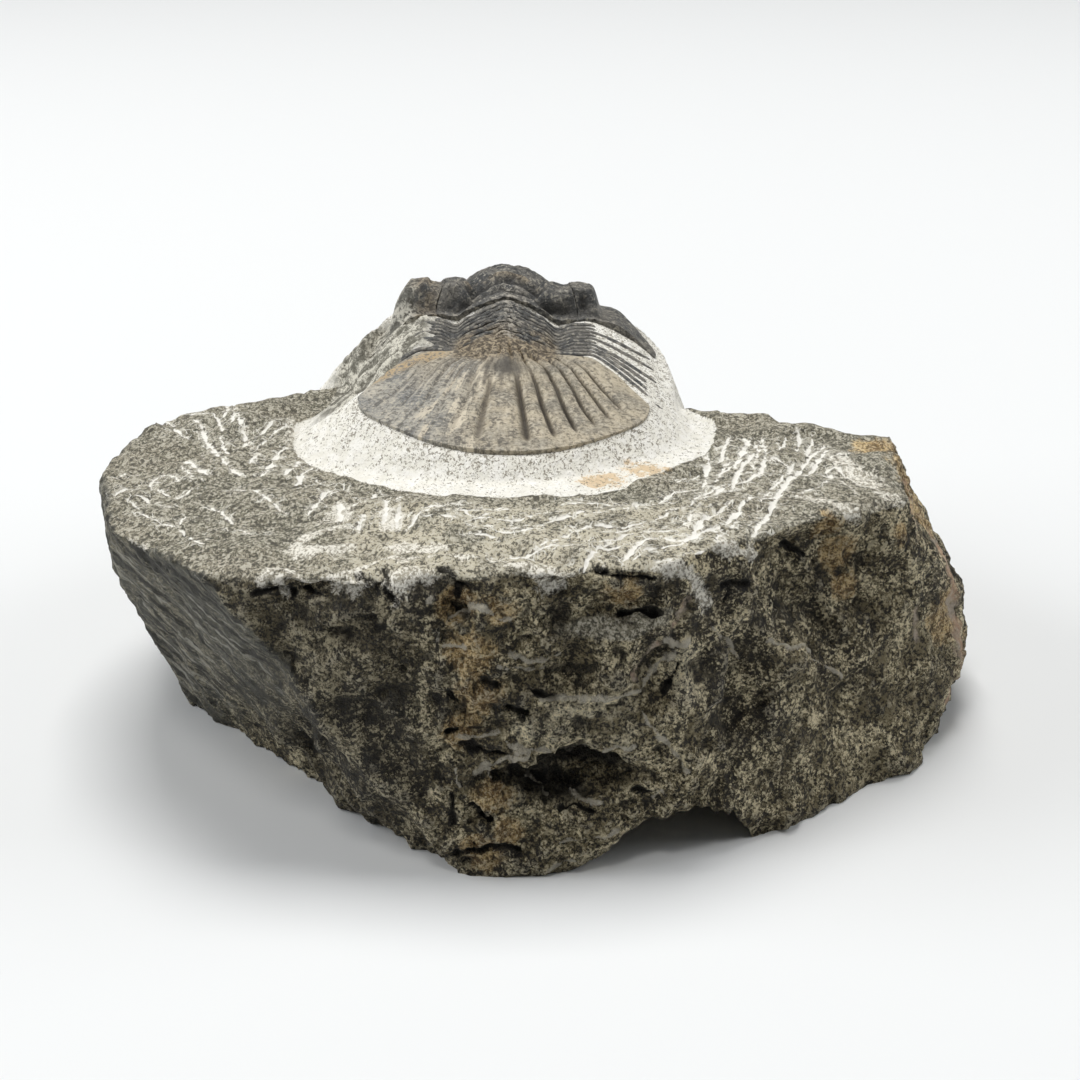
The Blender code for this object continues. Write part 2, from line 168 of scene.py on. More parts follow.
def dorsal_furrow(x, y):
    """The furrow along each side of the thorax's axis."""
    along = smooth(35.0, 38.0, y) * (1.0 - smooth(50.5, 53.0, y))
    return 0.7 * bell(np.abs(x), 7.3, 1.2) * along


def flank_height(x, y):
    """Height of the body's outer surface as it would be without its axis."""
    thorax = smooth(27.0, 37.0, y + 0.35 * np.abs(x))
    drop = TAIL_CURVE * x * x * (1.0 - thorax) + eased(PLEURA_DROP, np.abs(x), 0.8) * thorax
    return eased(FLANK_CREST, y) - drop - BODY_ROLL * x - dorsal_furrow(x, y)


def axis_rise(x, y):
    """How far the axis and the glabella stand above the flanks."""
    part = np.minimum(1.0, np.abs(x) / np.maximum(blend(LOBE_WIDTH, y), 0.3))
    tent = smooth(33.0, 37.0, y) * (1.0 - smooth(50.0, 54.0, y))
    lobe = (1.0 - part ** 2) ** 0.85 * (1.0 - tent) + (1.0 - np.sqrt(part ** 2 + 0.01)) * tent
    return (eased(AXIS_CREST, y) - eased(FLANK_CREST, y)) * np.maximum(lobe, 0.0)


def skin(x, y):
    """Height of the body's outer surface without its ribs, rings and eyes."""
    return flank_height(x, y) + axis_rise(x, y)


def rounded(points, closed=True, steps=8):
    """Many points on a smooth curve through a few."""
    count = len(points)
    found = []
    for i in range(count if closed else count - 1):
        near = range(i - 1, i + 3)
        if not closed:
            near = np.clip(near, 0, count - 1)
        p0, p1, p2, p3 = (np.array(points[j % count], float) for j in near)
        for k in range(steps):
            t = k / steps
            found.append(0.5 * (2 * p1 + (p2 - p0) * t + (2 * p0 - 5 * p1 + 4 * p2 - p3) * t ** 2
                                + (3 * p1 - p0 - 3 * p2 + p3) * t ** 3))
    if not closed:
        found.append(np.array(points[-1], float))
    return np.array(found)


def mirrored(half):
    """The closed outline whose right half is given, from one end of the axis to the other."""
    return list(half) + [(-x, y) for x, y in reversed(half[1:-1])]


TAIL_SIDE = ((0, 35.9), (3.4, 35.3), (AXIS_HALF, 34.2), (9.4, 33.9), (11.4, 33.5), (14.2, 30.8), (16.6, 26.9),
             (HALF_TAIL - 0.4, 22.6), (HALF_TAIL, 20.6), (17.8, 16.6), (14.6, 12.4), (10.2, 8.0), (5.2, 5.0),
             (0, TAIL_Y))
BODY_SIDE = ((0, 4), (5.2, 5.0), (10.2, 8), (14.6, 12.4), (17.8, 16.6), (18.9, 20.6), (19.4, 26), (20.3, 31),
             (20.8, 37), (20.9, 43), (20.4, 50), (18.8, 56.5), (15.2, 62.5), (9.6, 67), (0, 68.8))
OUTLINE = rounded(mirrored(BODY_SIDE), steps=4)


def outline_distance(x, y):
    """Distance of each spot from the body's outline, below zero inside it, and the nearest places on it."""
    x, y = np.atleast_1d(np.asarray(x, float)), np.atleast_1d(np.asarray(y, float))
    best = np.full(x.shape, 1e9)
    foot_x, foot_y = x.copy(), y.copy()
    inside = np.zeros(x.shape, bool)
    for a, b in zip(OUTLINE, np.roll(OUTLINE, -1, axis=0)):
        side = b - a
        t = np.clip(((x - a[0]) * side[0] + (y - a[1]) * side[1]) / side.dot(side), 0.0, 1.0)
        near_x, near_y = a[0] + side[0] * t, a[1] + side[1] * t
        gap = np.hypot(x - near_x, y - near_y)
        nearer = gap < best
        best = np.where(nearer, gap, best)
        foot_x, foot_y = np.where(nearer, near_x, foot_x), np.where(nearer, near_y, foot_y)
        if a[1] != b[1]:
            crosses = (a[1] > y) != (b[1] > y)
            inside ^= crosses & (x < a[0] + (y - a[1]) / side[1] * side[0])
    return np.where(inside, -best, best), foot_x, foot_y


def ring_width(x, y):
    """Width of the pale abraded ring beyond the shell's edge."""
    behind = 9.6 - 1.2 * smooth(4.0, 17.0, np.abs(x)) + 2.8 * bell(x, 13.0, 6.0) * smooth(9.0, 2.0, y)
    return behind + (3.4 - behind) * smooth(27.0, 38.0, y)


# Shaping helpers

def deselect_all():
    if bpy.context.object and bpy.context.object.mode != "OBJECT":
        bpy.ops.object.mode_set(mode="OBJECT")
    bpy.ops.object.select_all(action="DESELECT")


def work_on(obj):
    """Makes the object the only one selected, and the active one."""
    deselect_all()
    bpy.context.view_layer.objects.active = obj
    obj.select_set(True)


def edit_all(obj, operation, **settings):
    """Runs an edit-mode operation with everything selected."""
    work_on(obj)
    bpy.ops.object.mode_set(mode="EDIT")
    bpy.ops.mesh.select_all(action="SELECT")
    operation(**settings)
    bpy.ops.object.mode_set(mode="OBJECT")


def edit_faces(obj, chosen, operation, **settings):
    """Runs an edit-mode operation on the chosen faces."""
    bpy.context.tool_settings.mesh_select_mode = (False, False, True)
    edit_all(obj, bpy.ops.mesh.select_all, action="DESELECT")
    obj.data.polygons.foreach_set("select", chosen)
    bpy.ops.object.mode_set(mode="EDIT")
    operation(**settings)
    bpy.ops.object.mode_set(mode="OBJECT")


def settle(obj):
    """Moves the object's place and size into its mesh."""
    work_on(obj)
    bpy.ops.object.transform_apply(location=True, rotation=True, scale=True)


def apply_modifier(obj, kind, **settings):
    modifier = obj.modifiers.new(kind.lower(), kind)
    for name, value in settings.items():
        setattr(modifier, name, value)
    work_on(obj)
    bpy.ops.object.modifier_apply(modifier=modifier.name)


def rows_of(items, name):
    """One vector from each point or face of a mesh, as rows."""
    values = np.empty(len(items) * 3)
    items.foreach_get(name, values)
    return values.reshape(-1, 3)


def in_block(rows):
    """Places in metres in the frame as places in the block's millimetres."""
    return (rows - np.array(OVER_ORIGIN)) / MM


def points_of(obj):
    """The mesh's points in the block's millimetres."""
    return in_block(rows_of(obj.data.vertices, "co"))


def set_points(obj, places):
    """Puts the mesh's points at these places in the block's millimetres."""
    obj.data.vertices.foreach_set("co", (places * MM + np.array(OVER_ORIGIN)).ravel())
    obj.data.update()


def in_frame(x, y, z):
    """A place in the block's millimetres as metres in the frame."""
    return Vector((x, y, z)) * MM + OVER_ORIGIN


def write_attributes(obj, **layers):
    """Records a value at each point of the mesh under each name, for the finishes."""
    for name, values in layers.items():
        layer = obj.data.attributes.new(name, "FLOAT", "POINT")
        layer.data.foreach_set("value", np.asarray(values, np.float32))


def noise_at(places, size, stretch=(1, 1, 1)):
    """Smooth noise at each place, from about -1 to 1, with lumps of about this size."""
    scale = np.array(stretch) / size
    return np.array([noise.noise(Vector(spot)) for spot in places * scale])


def chips_at(places, size):
    """Flat-faced relief like chipped stone, from about -0.5 to 0.5, with chips of about this size."""
    heights = []
    for spot in places / size:
        spot = Vector(spot)
        reach, centres = noise.voronoi(spot)
        first, second = (2.0 * (noise.cell_vector(c * 7.31) - Vector((0.5, 0.5, 0.5))).dot(spot - c)
                         for c in centres[:2])
        seam = min((reach[1] - reach[0]) / 0.2, 1.0)
        heights.append(0.5 * (first + second) + 0.5 * seam * (first - second))
    return np.array(heights)


# Block

FRACTURES = (
    ("left flank", (-36, -30, 31), (-0.69, -0.56, -0.46)),
    ("left rear flank", (-56, 8, 30), (-0.90, 0.08, -0.32)),
    ("left edge", (-51, -8, 29), (-0.95, -0.24, -0.10)),
    ("left belly", (-51.5, 3, 14), (-0.90, -0.32, -0.30)),
    ("left top corner", (-54.5, 22, 30), (-0.93, 0.36, 0.08)),
    ("front left", (-36, -30.6, 31), (-0.167, -0.98, 0.118)),
    ("front middle", (-9.6, -35.6, 33), (0.115, -0.985, 0.104)),
    ("front right", (44, -5, 32), (0.66, -0.745, 0.19)),
    ("right foot", (46.5, -13, 0), (0.60, -0.79, -0.05)),
    ("right flank", (45, -4, 32), (0.88, -0.44, 0.18)),
    ("right shoulder", (45.5, 8, 30), (0.897, -0.037, 0.44)),
    ("right lobe", (55.4, 8, 10), (0.948, 0.207, 0.241)),
    ("right underside", (55.4, 8, 9), (0.92, -0.09, -0.38)),
    ("right flank foot", (50.9, 1.3, 0), (0.94, -0.35, -0.17)),
    ("right rear", (50, 34, 10), (0.80, 0.58, 0.16)),
    ("top", (0, 0, BLOCK_TOP), (0.0, 0.045, 0.999)),
    ("top left", (-10, 0, BLOCK_TOP), (-0.06, 0.03, 0.998)),
    ("top right", (18, 0, BLOCK_TOP), (0.06, 0.05, 0.997)),
    ("rear left slope", (-34, 40, 32.6), (-0.325, 0.38, 0.866)),
    ("rear right slope", (24, 39, 28.8), (0.235, 0.40, 0.866)),
    ("rear slope", (0, 66, 33), (0.0, 0.62, 0.78)),
    ("rear left", (-40, 52, 12), (-0.62, 0.76, -0.18)),
    ("back", (0, 74, 12), (0.10, 0.985, 0.14)),
    ("back right", (30, 64, 12), (0.55, 0.82, 0.12)),
)

# Hollows where flakes came away: centre, half sizes, and turns in degrees about X, Y and Z
SCOOPS = (
    ("right upper hollow", (41.4, -25.0, 26.0), (20, 17, 12), (0, 15, 42)),
    ("right lower hollow", (42.2, -34.0, 11.0), (21, 17, 9.5), (0, 22, 42)),
    ("right of the ridge", (30.6, -36.6, 19.5), (8.5, 16, 12), (0, 8, 36)),
    ("left of the ridge", (13.4, -40.4, 22.5), (5.2, 8.5, 9.0), (0, 24, 6)),
    ("front top hollow", (8.5, -39.6, 30.8), (9.0, 7.0, 5.0), (0, 4, 8)),
    ("above the ledge", (3.5, -42.4, 24.5), (9.5, 8.5, 6.0), (0, -14, 6)),
    ("ledge cavity", (4.6, -36.6, 11.4), (6.2, 6.0, 2.6), (-14, -3, 5)),
    ("lower cavity", (-1.2, -40.6, 7.2), (5.6, 5.2, 2.2), (-10, 27, 5)),
    ("underside arch", (15.5, -31.0, -2.8), (8.6, 12.0, 8.4), (0, 0, -15)),
    ("front foot", (11.0, -37.0, -2.5), (6.9, 15.0, 6.5), (0, 0, -39)),
    ("ochre pit", (34.5, -15.5, 29.5), (3.4, 4.0, 5.5), (0, 14, -40)),
    ("left face hollow", (-23.0, -39.4, 27.5), (9.0, 6.5, 5.0), (0, 8, -5)),
    ("left face lower hollow", (-17.0, -42.8, 14.0), (6.5, 6.5, 9.0), (0, 12, 0)),
    ("rear hollow", (-16.0, 88.0, 16.0), (20, 19, 13), (0, 0, 10)),
    ("rear right hollow", (52.0, 66.0, 24.0), (17, 15, 12), (0, 10, 35)),
    ("left rear hollow", (-66.0, 36.0, 14.0), (16, 14, 10), (0, 0, 15)),
)

# Sharper hollows in the torn middle of the front; the finish also paints shade inside them
CREVICES = (
    ("ledge cavity, deep", (4.3, -34.6, 12.5), (5.4, 7.5, 2.1), (0, 3, 5)),
    ("lower cavity, deep", (0.6, -37.2, 9.2), (6.6, 6.5, 1.7), (0, 25, 0)),
    ("small hole", (-2.0, -35.2, 18.8), (1.4, 3.6, 1.0), (0, 0, 0)),
    ("left slot", (-6.2, -37.0, 14.3), (2.6, 3.4, 0.9), (0, 6, 0)),
    ("low slot", (-6.0, -38.0, 6.8), (2.8, 3.2, 1.1), (0, -14, 0)),
    ("top slot", (-9.2, -34.4, 30.4), (1.5, 3.4, 1.9), (0, 10, 0)),
    ("right notch", (10.6, -35.4, 9.6), (1.8, 3.0, 0.8), (0, 8, 0)),
    ("column crack", (-10.2, -36.8, 9.0), (0.5, 2.6, 6.5), (0, 3, 0)),
)
SHALLOW_CREVICES = (
    ("under the rim", (8.5, -35.5, 29.2), (8.6, 5.0, 2.6), (0, -6, 6)),
    ("above the ledge, deep", (3.2, -41.0, 23.8), (10.5, 7.6, 6.2), (0, -10, 6)),
    ("under the arch", (16.0, -26.0, -2.6), (8.4, 13.0, 6.8), (0, 0, -12)),
)


def rock_top(x, y):
    """Height of the unprepared top: the lowest of the block's upper fracture faces at each place."""
    heights = []
    for _, point, direction in FRACTURES:
        if direction[2] > 0.7:
            run = direction[0] * (x + AXIS_X - point[0]) + direction[1] * (y - point[1])
            heights.append(point[2] - run / direction[2])
    return np.min(heights, axis=0)


def rough_block():
    """The block as flat fracture faces, cut one by one from a cube."""
    bpy.ops.mesh.primitive_cube_add(size=1, location=in_frame(0, 20, 30 + BLOCK_ROOT))
    block = bpy.context.object
    block.name = "rock"
    block.scale = (150 * MM, 150 * MM, 60 * MM)
    settle(block)
    for _, point, direction in FRACTURES + (("base", (0, 0, 0), (0, 0, -1)),):
        edit_all(block, bpy.ops.mesh.bisect, plane_co=in_frame(*point),
                 plane_no=Vector(direction).normalized(), use_fill=True, clear_outer=True)
    return block


def hollow_out(block):
    """Scoops out each hollow that a flake left."""
    for name, centre, halves, turns in SCOOPS + CREVICES + SHALLOW_CREVICES:
        turns = [math.radians(turn) for turn in turns]
        bpy.ops.mesh.primitive_uv_sphere_add(segments=40, ring_count=20, radius=MM,
                                             location=in_frame(*centre), rotation=turns, scale=halves)
        flake = bpy.context.object
        flake.name = name
        settle(flake)
        apply_modifier(block, "BOOLEAN", operation="DIFFERENCE", object=flake, solver="EXACT")
        bpy.data.objects.remove(flake)


def split_faces(block, wanted):
    """Halves every edge of the faces whose centre and normal are wanted."""
    faces = block.data.polygons
    chosen = wanted(in_block(rows_of(faces, "center")), rows_of(faces, "normal"))
    edit_faces(block, chosen, bpy.ops.mesh.subdivide, number_cuts=1)


def under_plates(x, y):
    """True where plates of the shell hide the rock."""
    gap, _, _ = outline_distance(x, y)
    tail = (y < 34.0) & (gap < -1.5)
    axis = (y >= 34.0) & (np.abs(x) < 11.0) & (gap < -1.5)
    return tail | axis


def seen_closely(centres, normals):
    """Faces of the top and of the sides that face the front, apart from those under the shell."""
    x, y, z = centres.T
    top = (normals[:, 2] > 0.45) & (y < 62.0) & ~under_plates(x - AXIS_X, y)
    sides = (normals[:, 2] <= 0.45) & (normals[:, 1] < 0.25) & (z > 0.5) & (y < 40.0)
    return top | sides


# Tool grooves on the top of the block

# Each groove's half width in millimetres, then its places in the camera's view, from the top left
GROOVES = (
    (0.30, (115, 519), (136, 515), (159, 522), (179, 529), (187, 535), (198, 548), (208, 548)),
    (0.26, (187, 514), (181, 523), (179, 529)),
    (0.26, (195, 532), (217, 532), (239, 530), (259, 535), (268, 531)),
    (0.34, (208, 506), (219, 512), (233, 526)),
    (0.34, (228, 490), (245, 493), (265, 503), (291, 517)),
    (0.30, (151, 488), (164, 494), (179, 499), (191, 493), (202, 491)),
    (0.34, (129, 502), (141, 500), (153, 504), (173, 508)),
    (0.34, (149, 478), (167, 477), (182, 488)),
    (0.42, (181, 461), (194, 470), (211, 481)),
    (0.40, (188, 424), (201, 430), (207, 444), (217, 457), (227, 470), (242, 479)),
    (0.55, (220, 440), (224, 451), (228, 456)),
    (0.40, (173, 431), (181, 439), (188, 441)),
    (0.38, (190, 419), (208, 418), (217, 424), (224, 436)),
    (0.45, (227, 404), (228, 416), (224, 424)),
    (0.40, (239, 427), (246, 442), (242, 450)),
    (0.36, (254, 450), (279, 433), (294, 425)),
    (0.45, (265, 473), (279, 451), (290, 446)),
    (0.40, (285, 477), (306, 451)),
    (0.45, (296, 485), (312, 463), (331, 465)),
    (0.42, (308, 517), (328, 494), (335, 486)),
    (0.55, (250, 465), (257, 454)),
    (0.38, (259, 436), (276, 425), (291, 418)),
    (0.40, (118, 480), (138, 473)),
    (0.48, (116, 497), (126, 491), (136, 488)),
    (0.45, (340, 503), (341, 525)),
    (0.42, (365, 514), (359, 535)),
    (0.32, (377, 485), (366, 498), (352, 507)),
    (0.50, (388, 496), (384, 530)),
    (0.45, (400, 507), (397, 534)),
    (0.32, (392, 500), (412, 489)),
    (0.36, (431, 509), (420, 523), (407, 535)),
    (0.30, (420, 510), (445, 507), (499, 505), (543, 503)),
    (0.36, (434, 516), (463, 514), (499, 509), (543, 507), (579, 500), (598, 499), (617, 502), (636, 501),
     (660, 497), (675, 488), (704, 485)),
    (0.34, (422, 525), (454, 525), (481, 521), (516, 523), (543, 514), (570, 513)),
    (0.40, (461, 528), (481, 530), (504, 534), (529, 532), (552, 525), (579, 518), (602, 515), (624, 509),
     (643, 500), (660, 497)),
    (0.30, (459, 540), (507, 539)),
    (0.40, (534, 551), (560, 542), (577, 534), (598, 528), (626, 528), (649, 522), (668, 513), (688, 505),
     (704, 492), (728, 483)),
    (0.34, (488, 555), (509, 557), (543, 551), (560, 550), (585, 548), (611, 542), (626, 538), (649, 532),
     (668, 531), (688, 523), (691, 511)),
    (0.30, (594, 536), (617, 532), (642, 528)),
    (0.45, (621, 564), (639, 548), (659, 539), (675, 542), (691, 541), (700, 523), (719, 509), (733, 505)),
    (0.38, (629, 564), (649, 552), (668, 547), (691, 543), (704, 536), (723, 528)),
    (0.42, (579, 573), (594, 560), (608, 545)),
    (0.36, (662, 561), (681, 555), (704, 552)),
    (0.60, (726, 522), (744, 506), (760, 495)),
    (0.45, (704, 485), (707, 472), (709, 457), (703, 446)),
    (0.42, (707, 473), (726, 469), (739, 457), (745, 445)),
    (0.50, (732, 487), (739, 472), (754, 454)),
    (0.42, (728, 483), (751, 480), (762, 471), (765, 452), (762, 438)),
    (0.34, (675, 477), (690, 471), (702, 468)),
    (0.42, (694, 541), (714, 529), (734, 517), (753, 500), (787, 500)),
    (0.50, (753, 536), (770, 512), (787, 485), (811, 471), (828, 452)),
    (0.42, (775, 500), (797, 473), (811, 459), (826, 446)),
    (0.38, (787, 500), (821, 488), (833, 473)),
    (0.42, (719, 459), (729, 435)),
    (0.42, (734, 468), (748, 444), (741, 435)),
    (0.40, (780, 452), (787, 439)),
    (0.40, (806, 459), (813, 435)),
    (0.36, (738, 520), (722, 534), (716, 546)),
    (0.34, (790, 470), (776, 460), (768, 462)),
    (0.34, (742, 494), (756, 499), (770, 492)),
    (0.28, (368, 497), (385, 499), (400, 497), (420, 494)),
    (0.24, (375, 489), (390, 493), (405, 491)),
    (0.30, (460, 511), (475, 519), (490, 514), (510, 510), (530, 512)),
    (0.24, (425, 519), (450, 519), (470, 521)),
    (0.24, (500, 528), (520, 530), (545, 526)),
    (0.28, (545, 527), (570, 521), (590, 516), (610, 513)),
    (0.32, (600, 556), (615, 550), (640, 545), (660, 541)),
    (0.32, (655, 563), (680, 557), (705, 550)),
    (0.45, (690, 545), (698, 532), (702, 520)),
    (0.34, (715, 480), (722, 470), (728, 458)),
    (0.36, (752, 470), (758, 455), (755, 440)),
    (0.34, (795, 455), (800, 442), (797, 432)),
    (0.36, (770, 490), (785, 478), (795, 462)),
    (0.32, (815, 475), (835, 470), (850, 480)),
    (0.40, (700, 500), (715, 492), (730, 484)),
    (0.36, (760, 505), (775, 497), (790, 492)),
    (0.32, (826, 462), (838, 458), (850, 455)),
    (0.24, (118, 500), (130, 505), (140, 512)),
    (0.26, (160, 475), (150, 485), (155, 492)),
    (0.34, (262, 480), (270, 470), (275, 462)),
    (0.28, (300, 440), (292, 450)),
    (0.34, (233, 405), (235, 420), (232, 430)),
    (0.28, (205, 445), (215, 440), (222, 446)),
    (0.28, (240, 462), (252, 458)),
    (0.28, (315, 475), (325, 482), (338, 478)),
    (0.24, (345, 480), (340, 490), (330, 496)),
    (0.26, (150, 430), (165, 425), (180, 428)),
    (0.28, (180, 470), (190, 478), (196, 486)),
)


# The same for the front: thin pale lips of ledges, dark cracks with painted shade in them, and broad chalky
# bruises. A few of the crack lines are only painted shade, below the rim and in a hollow
LIPS = (
    (0.35, (457, 737), (470, 741), (487, 739), (500, 733)),
    (0.45, (503, 741), (512, 747), (525, 750), (545, 750), (560, 746), (575, 744), (590, 748), (610, 746),
     (632, 743)),
    (0.60, (484, 766), (495, 768), (510, 760), (525, 755), (532, 749)),
    (0.40, (512, 656), (525, 658), (540, 659), (560, 656)),
    (0.35, (497, 664), (515, 667), (535, 669), (545, 667)),
    (0.50, (540, 701), (560, 697), (575, 699), (590, 697), (610, 696), (625, 690), (640, 684), (650, 674),
     (660, 662), (672, 655)),
    (0.35, (640, 712), (645, 722), (660, 735), (672, 748), (682, 762), (686, 772)),
    (0.30, (455, 770), (456, 780), (460, 788)),
    (0.60, (478, 776), (490, 772), (498, 779)),
    (0.40, (520, 772), (535, 785), (548, 796)),
    (0.50, (575, 797), (588, 801), (602, 803)),
    (0.40, (560, 842), (580, 838), (600, 833), (618, 828)),
    (0.45, (540, 868), (560, 862), (572, 856)),
    (0.60, (665, 640), (680, 645), (690, 641)),
    (0.40, (440, 630), (439, 640)),
    (0.35, (445, 644), (466, 645)),
    (0.45, (450, 618), (465, 608), (480, 606), (490, 611), (500, 620), (510, 620)),
    (0.35, (430, 600), (434, 592)),
    (0.40, (712, 628), (726, 640), (735, 658)),
    (0.35, (765, 640), (785, 650), (805, 652), (830, 662), (850, 678)),
    (0.35, (700, 716), (704, 706), (712, 700)),
    (0.40, (655, 800), (662, 790), (668, 798)),
)
# Cracks, sunk and painted near black with painted shade in them; a few lines are only painted shade, below
# the rim and in a hollow
CRACKS_AND_SHADE_LINES = (
    (0.55, (508, 707), (518, 710), (527, 713)),
    (0.75, (460, 747), (475, 751), (490, 755), (506, 758)),
    (0.50, (446, 734), (456, 731)),
    (0.45, (447, 693), (453, 702)),
    (0.70, (486, 678), (495, 686)),
    (0.60, (500, 672), (514, 673)),
    (0.60, (528, 690), (540, 695), (556, 697)),
    (0.40, (451, 795), (452, 810), (454, 824)),
    (0.60, (470, 809), (482, 811), (492, 819)),
    (0.50, (455, 855), (478, 852), (500, 846), (520, 852)),
    (0.45, (560, 812), (580, 808), (598, 815)),
    (0.55, (598, 571), (615, 574), (635, 578), (655, 578)),
    (0.70, (620, 614), (640, 610), (660, 613)),
    (0.55, (383, 568), (390, 580), (386, 590), (398, 602)),
    (0.50, (360, 572), (372, 579)),
    (0.60, (441, 570), (455, 573)),
    (0.60, (455, 583), (460, 598)),
    (0.60, (255, 592), (280, 588), (292, 596)),
    (0.45, (304, 590), (318, 596), (330, 592)),
    (0.50, (722, 586), (732, 583), (742, 584)),
    (0.50, (724, 600), (729, 592)),
    (0.60, (664, 690), (672, 676), (680, 664)),
    (0.50, (635, 790), (650, 795)),
    (0.45, (785, 545), (800, 552), (812, 560)),
    (0.40, (545, 623), (552, 612), (548, 604)),
)
CHALK = (
    (1.9, (298, 549), (325, 550), (350, 547)),
    (0.9, (290, 549), (310, 536), (330, 530), (352, 528)),
    (0.55, (264, 579), (272, 567), (285, 566), (300, 576), (320, 576), (345, 571), (365, 566), (382, 562),
     (400, 560)),
    (1.7, (338, 586), (350, 584)),
    (0.9, (280, 582), (283, 596)),
    (2.0, (405, 549), (425, 550), (448, 547)),
    (1.8, (408, 576), (430, 577)),
    (1.2, (340, 517), (346, 500)),
    (1.3, (385, 510), (391, 527)),
    (0.9, (364, 522), (361, 536)),
    (0.7, (402, 561), (430, 556), (460, 559), (490, 559), (512, 560)),
    (1.4, (513, 564), (540, 567), (562, 574)),
    (1.2, (546, 586), (556, 592)),
    (1.3, (655, 567), (675, 570), (690, 573)),
    (1.6, (692, 576), (698, 588), (706, 600)),
    (0.8, (720, 546), (740, 552), (762, 558)),
    (2.6, (846, 462), (857, 476), (866, 488)),
    (1.8, (866, 484), (886, 496)),
    (1.2, (842, 480), (856, 500)),
    (1.2, (802, 497), (830, 506), (850, 512)),
    (1.2, (245, 430), (256, 452)),
    (1.2, (290, 420), (298, 440)),
    (1.0, (695, 512), (690, 525)),
    (0.8, (132, 537), (140, 545)),
)


def through(across, down):
    """Where the line from the camera through a place in its view starts, and its direction."""
    line = Vector((across - 0.5 * VIEW, 0.5 * VIEW - down, -CAMERA_LENS / SENSOR * VIEW))
    line.rotate(Euler((CAMERA_TILT, 0.0, 0.0)))
    return Vector(CAMERA_PLACE), line


def on_top(across, down):
    """Where a line from the camera through this place in its view meets the top: x from the axis, and y."""
    _, line = through(across, down)
    height = BLOCK_TOP
    for _ in range(4):
        spot = Vector(CAMERA_PLACE) + line * ((height * MM - CAMERA_PLACE[2]) / line.z)
        x, y, _ = (spot - OVER_ORIGIN) / MM
        height = float(rock_top(x - AXIS_X, y)) - 0.5 * TROUGH
    return x - AXIS_X, y


def run_along(line):
    """How far along a line each of its points lies."""
    return np.concatenate([[0.0], np.cumsum(np.hypot(*np.diff(line[:, :2], axis=0).T))])


def walk(route, step):
    """Even steps along a smooth line through a route: how far from its start and its end, and the place."""
    line = rounded(route, closed=False, steps=6)
    run = run_along(line)
    for at in np.arange(0.0, run[-1], step):
        yield at, run[-1] - at, np.interp(at, run, line[:, 0]), np.interp(at, run, line[:, 1])


def groove_finder():
    spots, halves = [], []
    for half, *route in GROOVES:
        for gone, left, x, y in walk([on_top(*place) for place in route], GROOVE_STEP):
            ragged = noise.noise_vector(Vector((x, y, 0.0)) / 0.8)
            taper = min(1.0, 0.45 + gone / 2.5, 0.45 + left / 2.5)
            wide = 0.64 + 0.9 * noise.noise(Vector((x, y, 5.0)) / 1.3)
            spots.append((x + 0.24 * ragged.x, y + 0.24 * ragged.y, 0.0))
            halves.append(half * taper * max(wide, 0.25))
    return look_up(spots, halves)


def mark_finder(tree, marks):
    spots, halves = [], []
    for half, *route in marks:
        for _, _, across, down in walk(route, MARK_STEP):
            ragged = noise.noise_vector(Vector((across, down, 0.0)) / 9.0)
            spot = tree.ray_cast(*through(across + 1.6 * ragged.x, down + 1.6 * ragged.y))[0]
            if spot is not None:
                wide = 0.62 + 0.9 * noise.noise(Vector((across, down, 5.0)) / 14.0)
                spots.append((spot - OVER_ORIGIN) / MM)
                halves.append(half * max(wide, 0.25))
    return look_up(spots, halves)


def look_up(spots, halves):
    finder = kdtree.KDTree(len(spots))
    for i, spot in enumerate(spots):
        finder.insert(spot, i)
    finder.balance()
    return finder, halves


def mark_distance(marks, places):
    """Distance from the nearest mark, in half widths of it."""
    finder, halves = marks
    return np.array([away / halves[i] for _, i, away in (finder.find(place) for place in places)])


def groove_distance(grooves, x, y):
    return mark_distance(grooves, np.stack([x, y, np.zeros(len(x))], axis=1))


# Limestone's surface

def is_top(places, away):
    return (away[:, 2] > 0.55) & (places[:, 2] > rock_top(places[:, 0] - AXIS_X, places[:, 1]) - 2.2)


def torn(places):
    """1 in the torn middle of the front, where the rock broke into ledges, and 0 on its plainer faces."""
    x = places[:, 0]
    across = smooth(-14.0, -10.0, x) * (1.0 - smooth(9.0, 17.0, x))
    return across * smooth(-22.0, -28.0, places[:, 1])


def break_relief(places, away):
    """How far fracture relief moves each point along its normal: broad waves, chips and grit."""
    broad = np.array([noise.fractal(Vector(spot) / BREAK_GRAIN, 0.9, 2.2, 3) for spot in places])
    layers = 0.5 * (noise_at(places, 5.0, (1, 1, 2.5)) - 0.1)
    flat_top = smooth(0.75, 0.97, away[:, 2]) * smooth(20, 26, places[:, 2])
    crest = 0.9 * noise_at(places + 11.0, 4.5) * flat_top * smooth(18.0, 30.0, places[:, 1])
    calm = 1.0 - 0.5 * flat_top - 0.7 * left_flank(places, away)
    rough = 0.75 + 0.85 * torn(places)
    small = 0.6 * chips_at(places + 31.0, 2.6) + 0.28 * (1.0 - flat_top) * chips_at(places + 83.0, 1.3)
    chips = 2.2 * chips_at(places + 57.0, 15.0) + 1.15 * chips_at(places, 6.0) + rough * small
    ridges = np.array([0.45 - noise.turbulence(Vector(spot) / 3.4, 4, True) for spot in places])
    grit = 0.2 * noise_at(places, 1.2) + 0.12 * noise_at(places, 0.6)
    coarse = calm * (BREAK_ROUGHNESS * (broad + layers) + chips + 0.22 * rough * ridges)
    return coarse + crest + grit * (1.0 - 0.5 * flat_top)


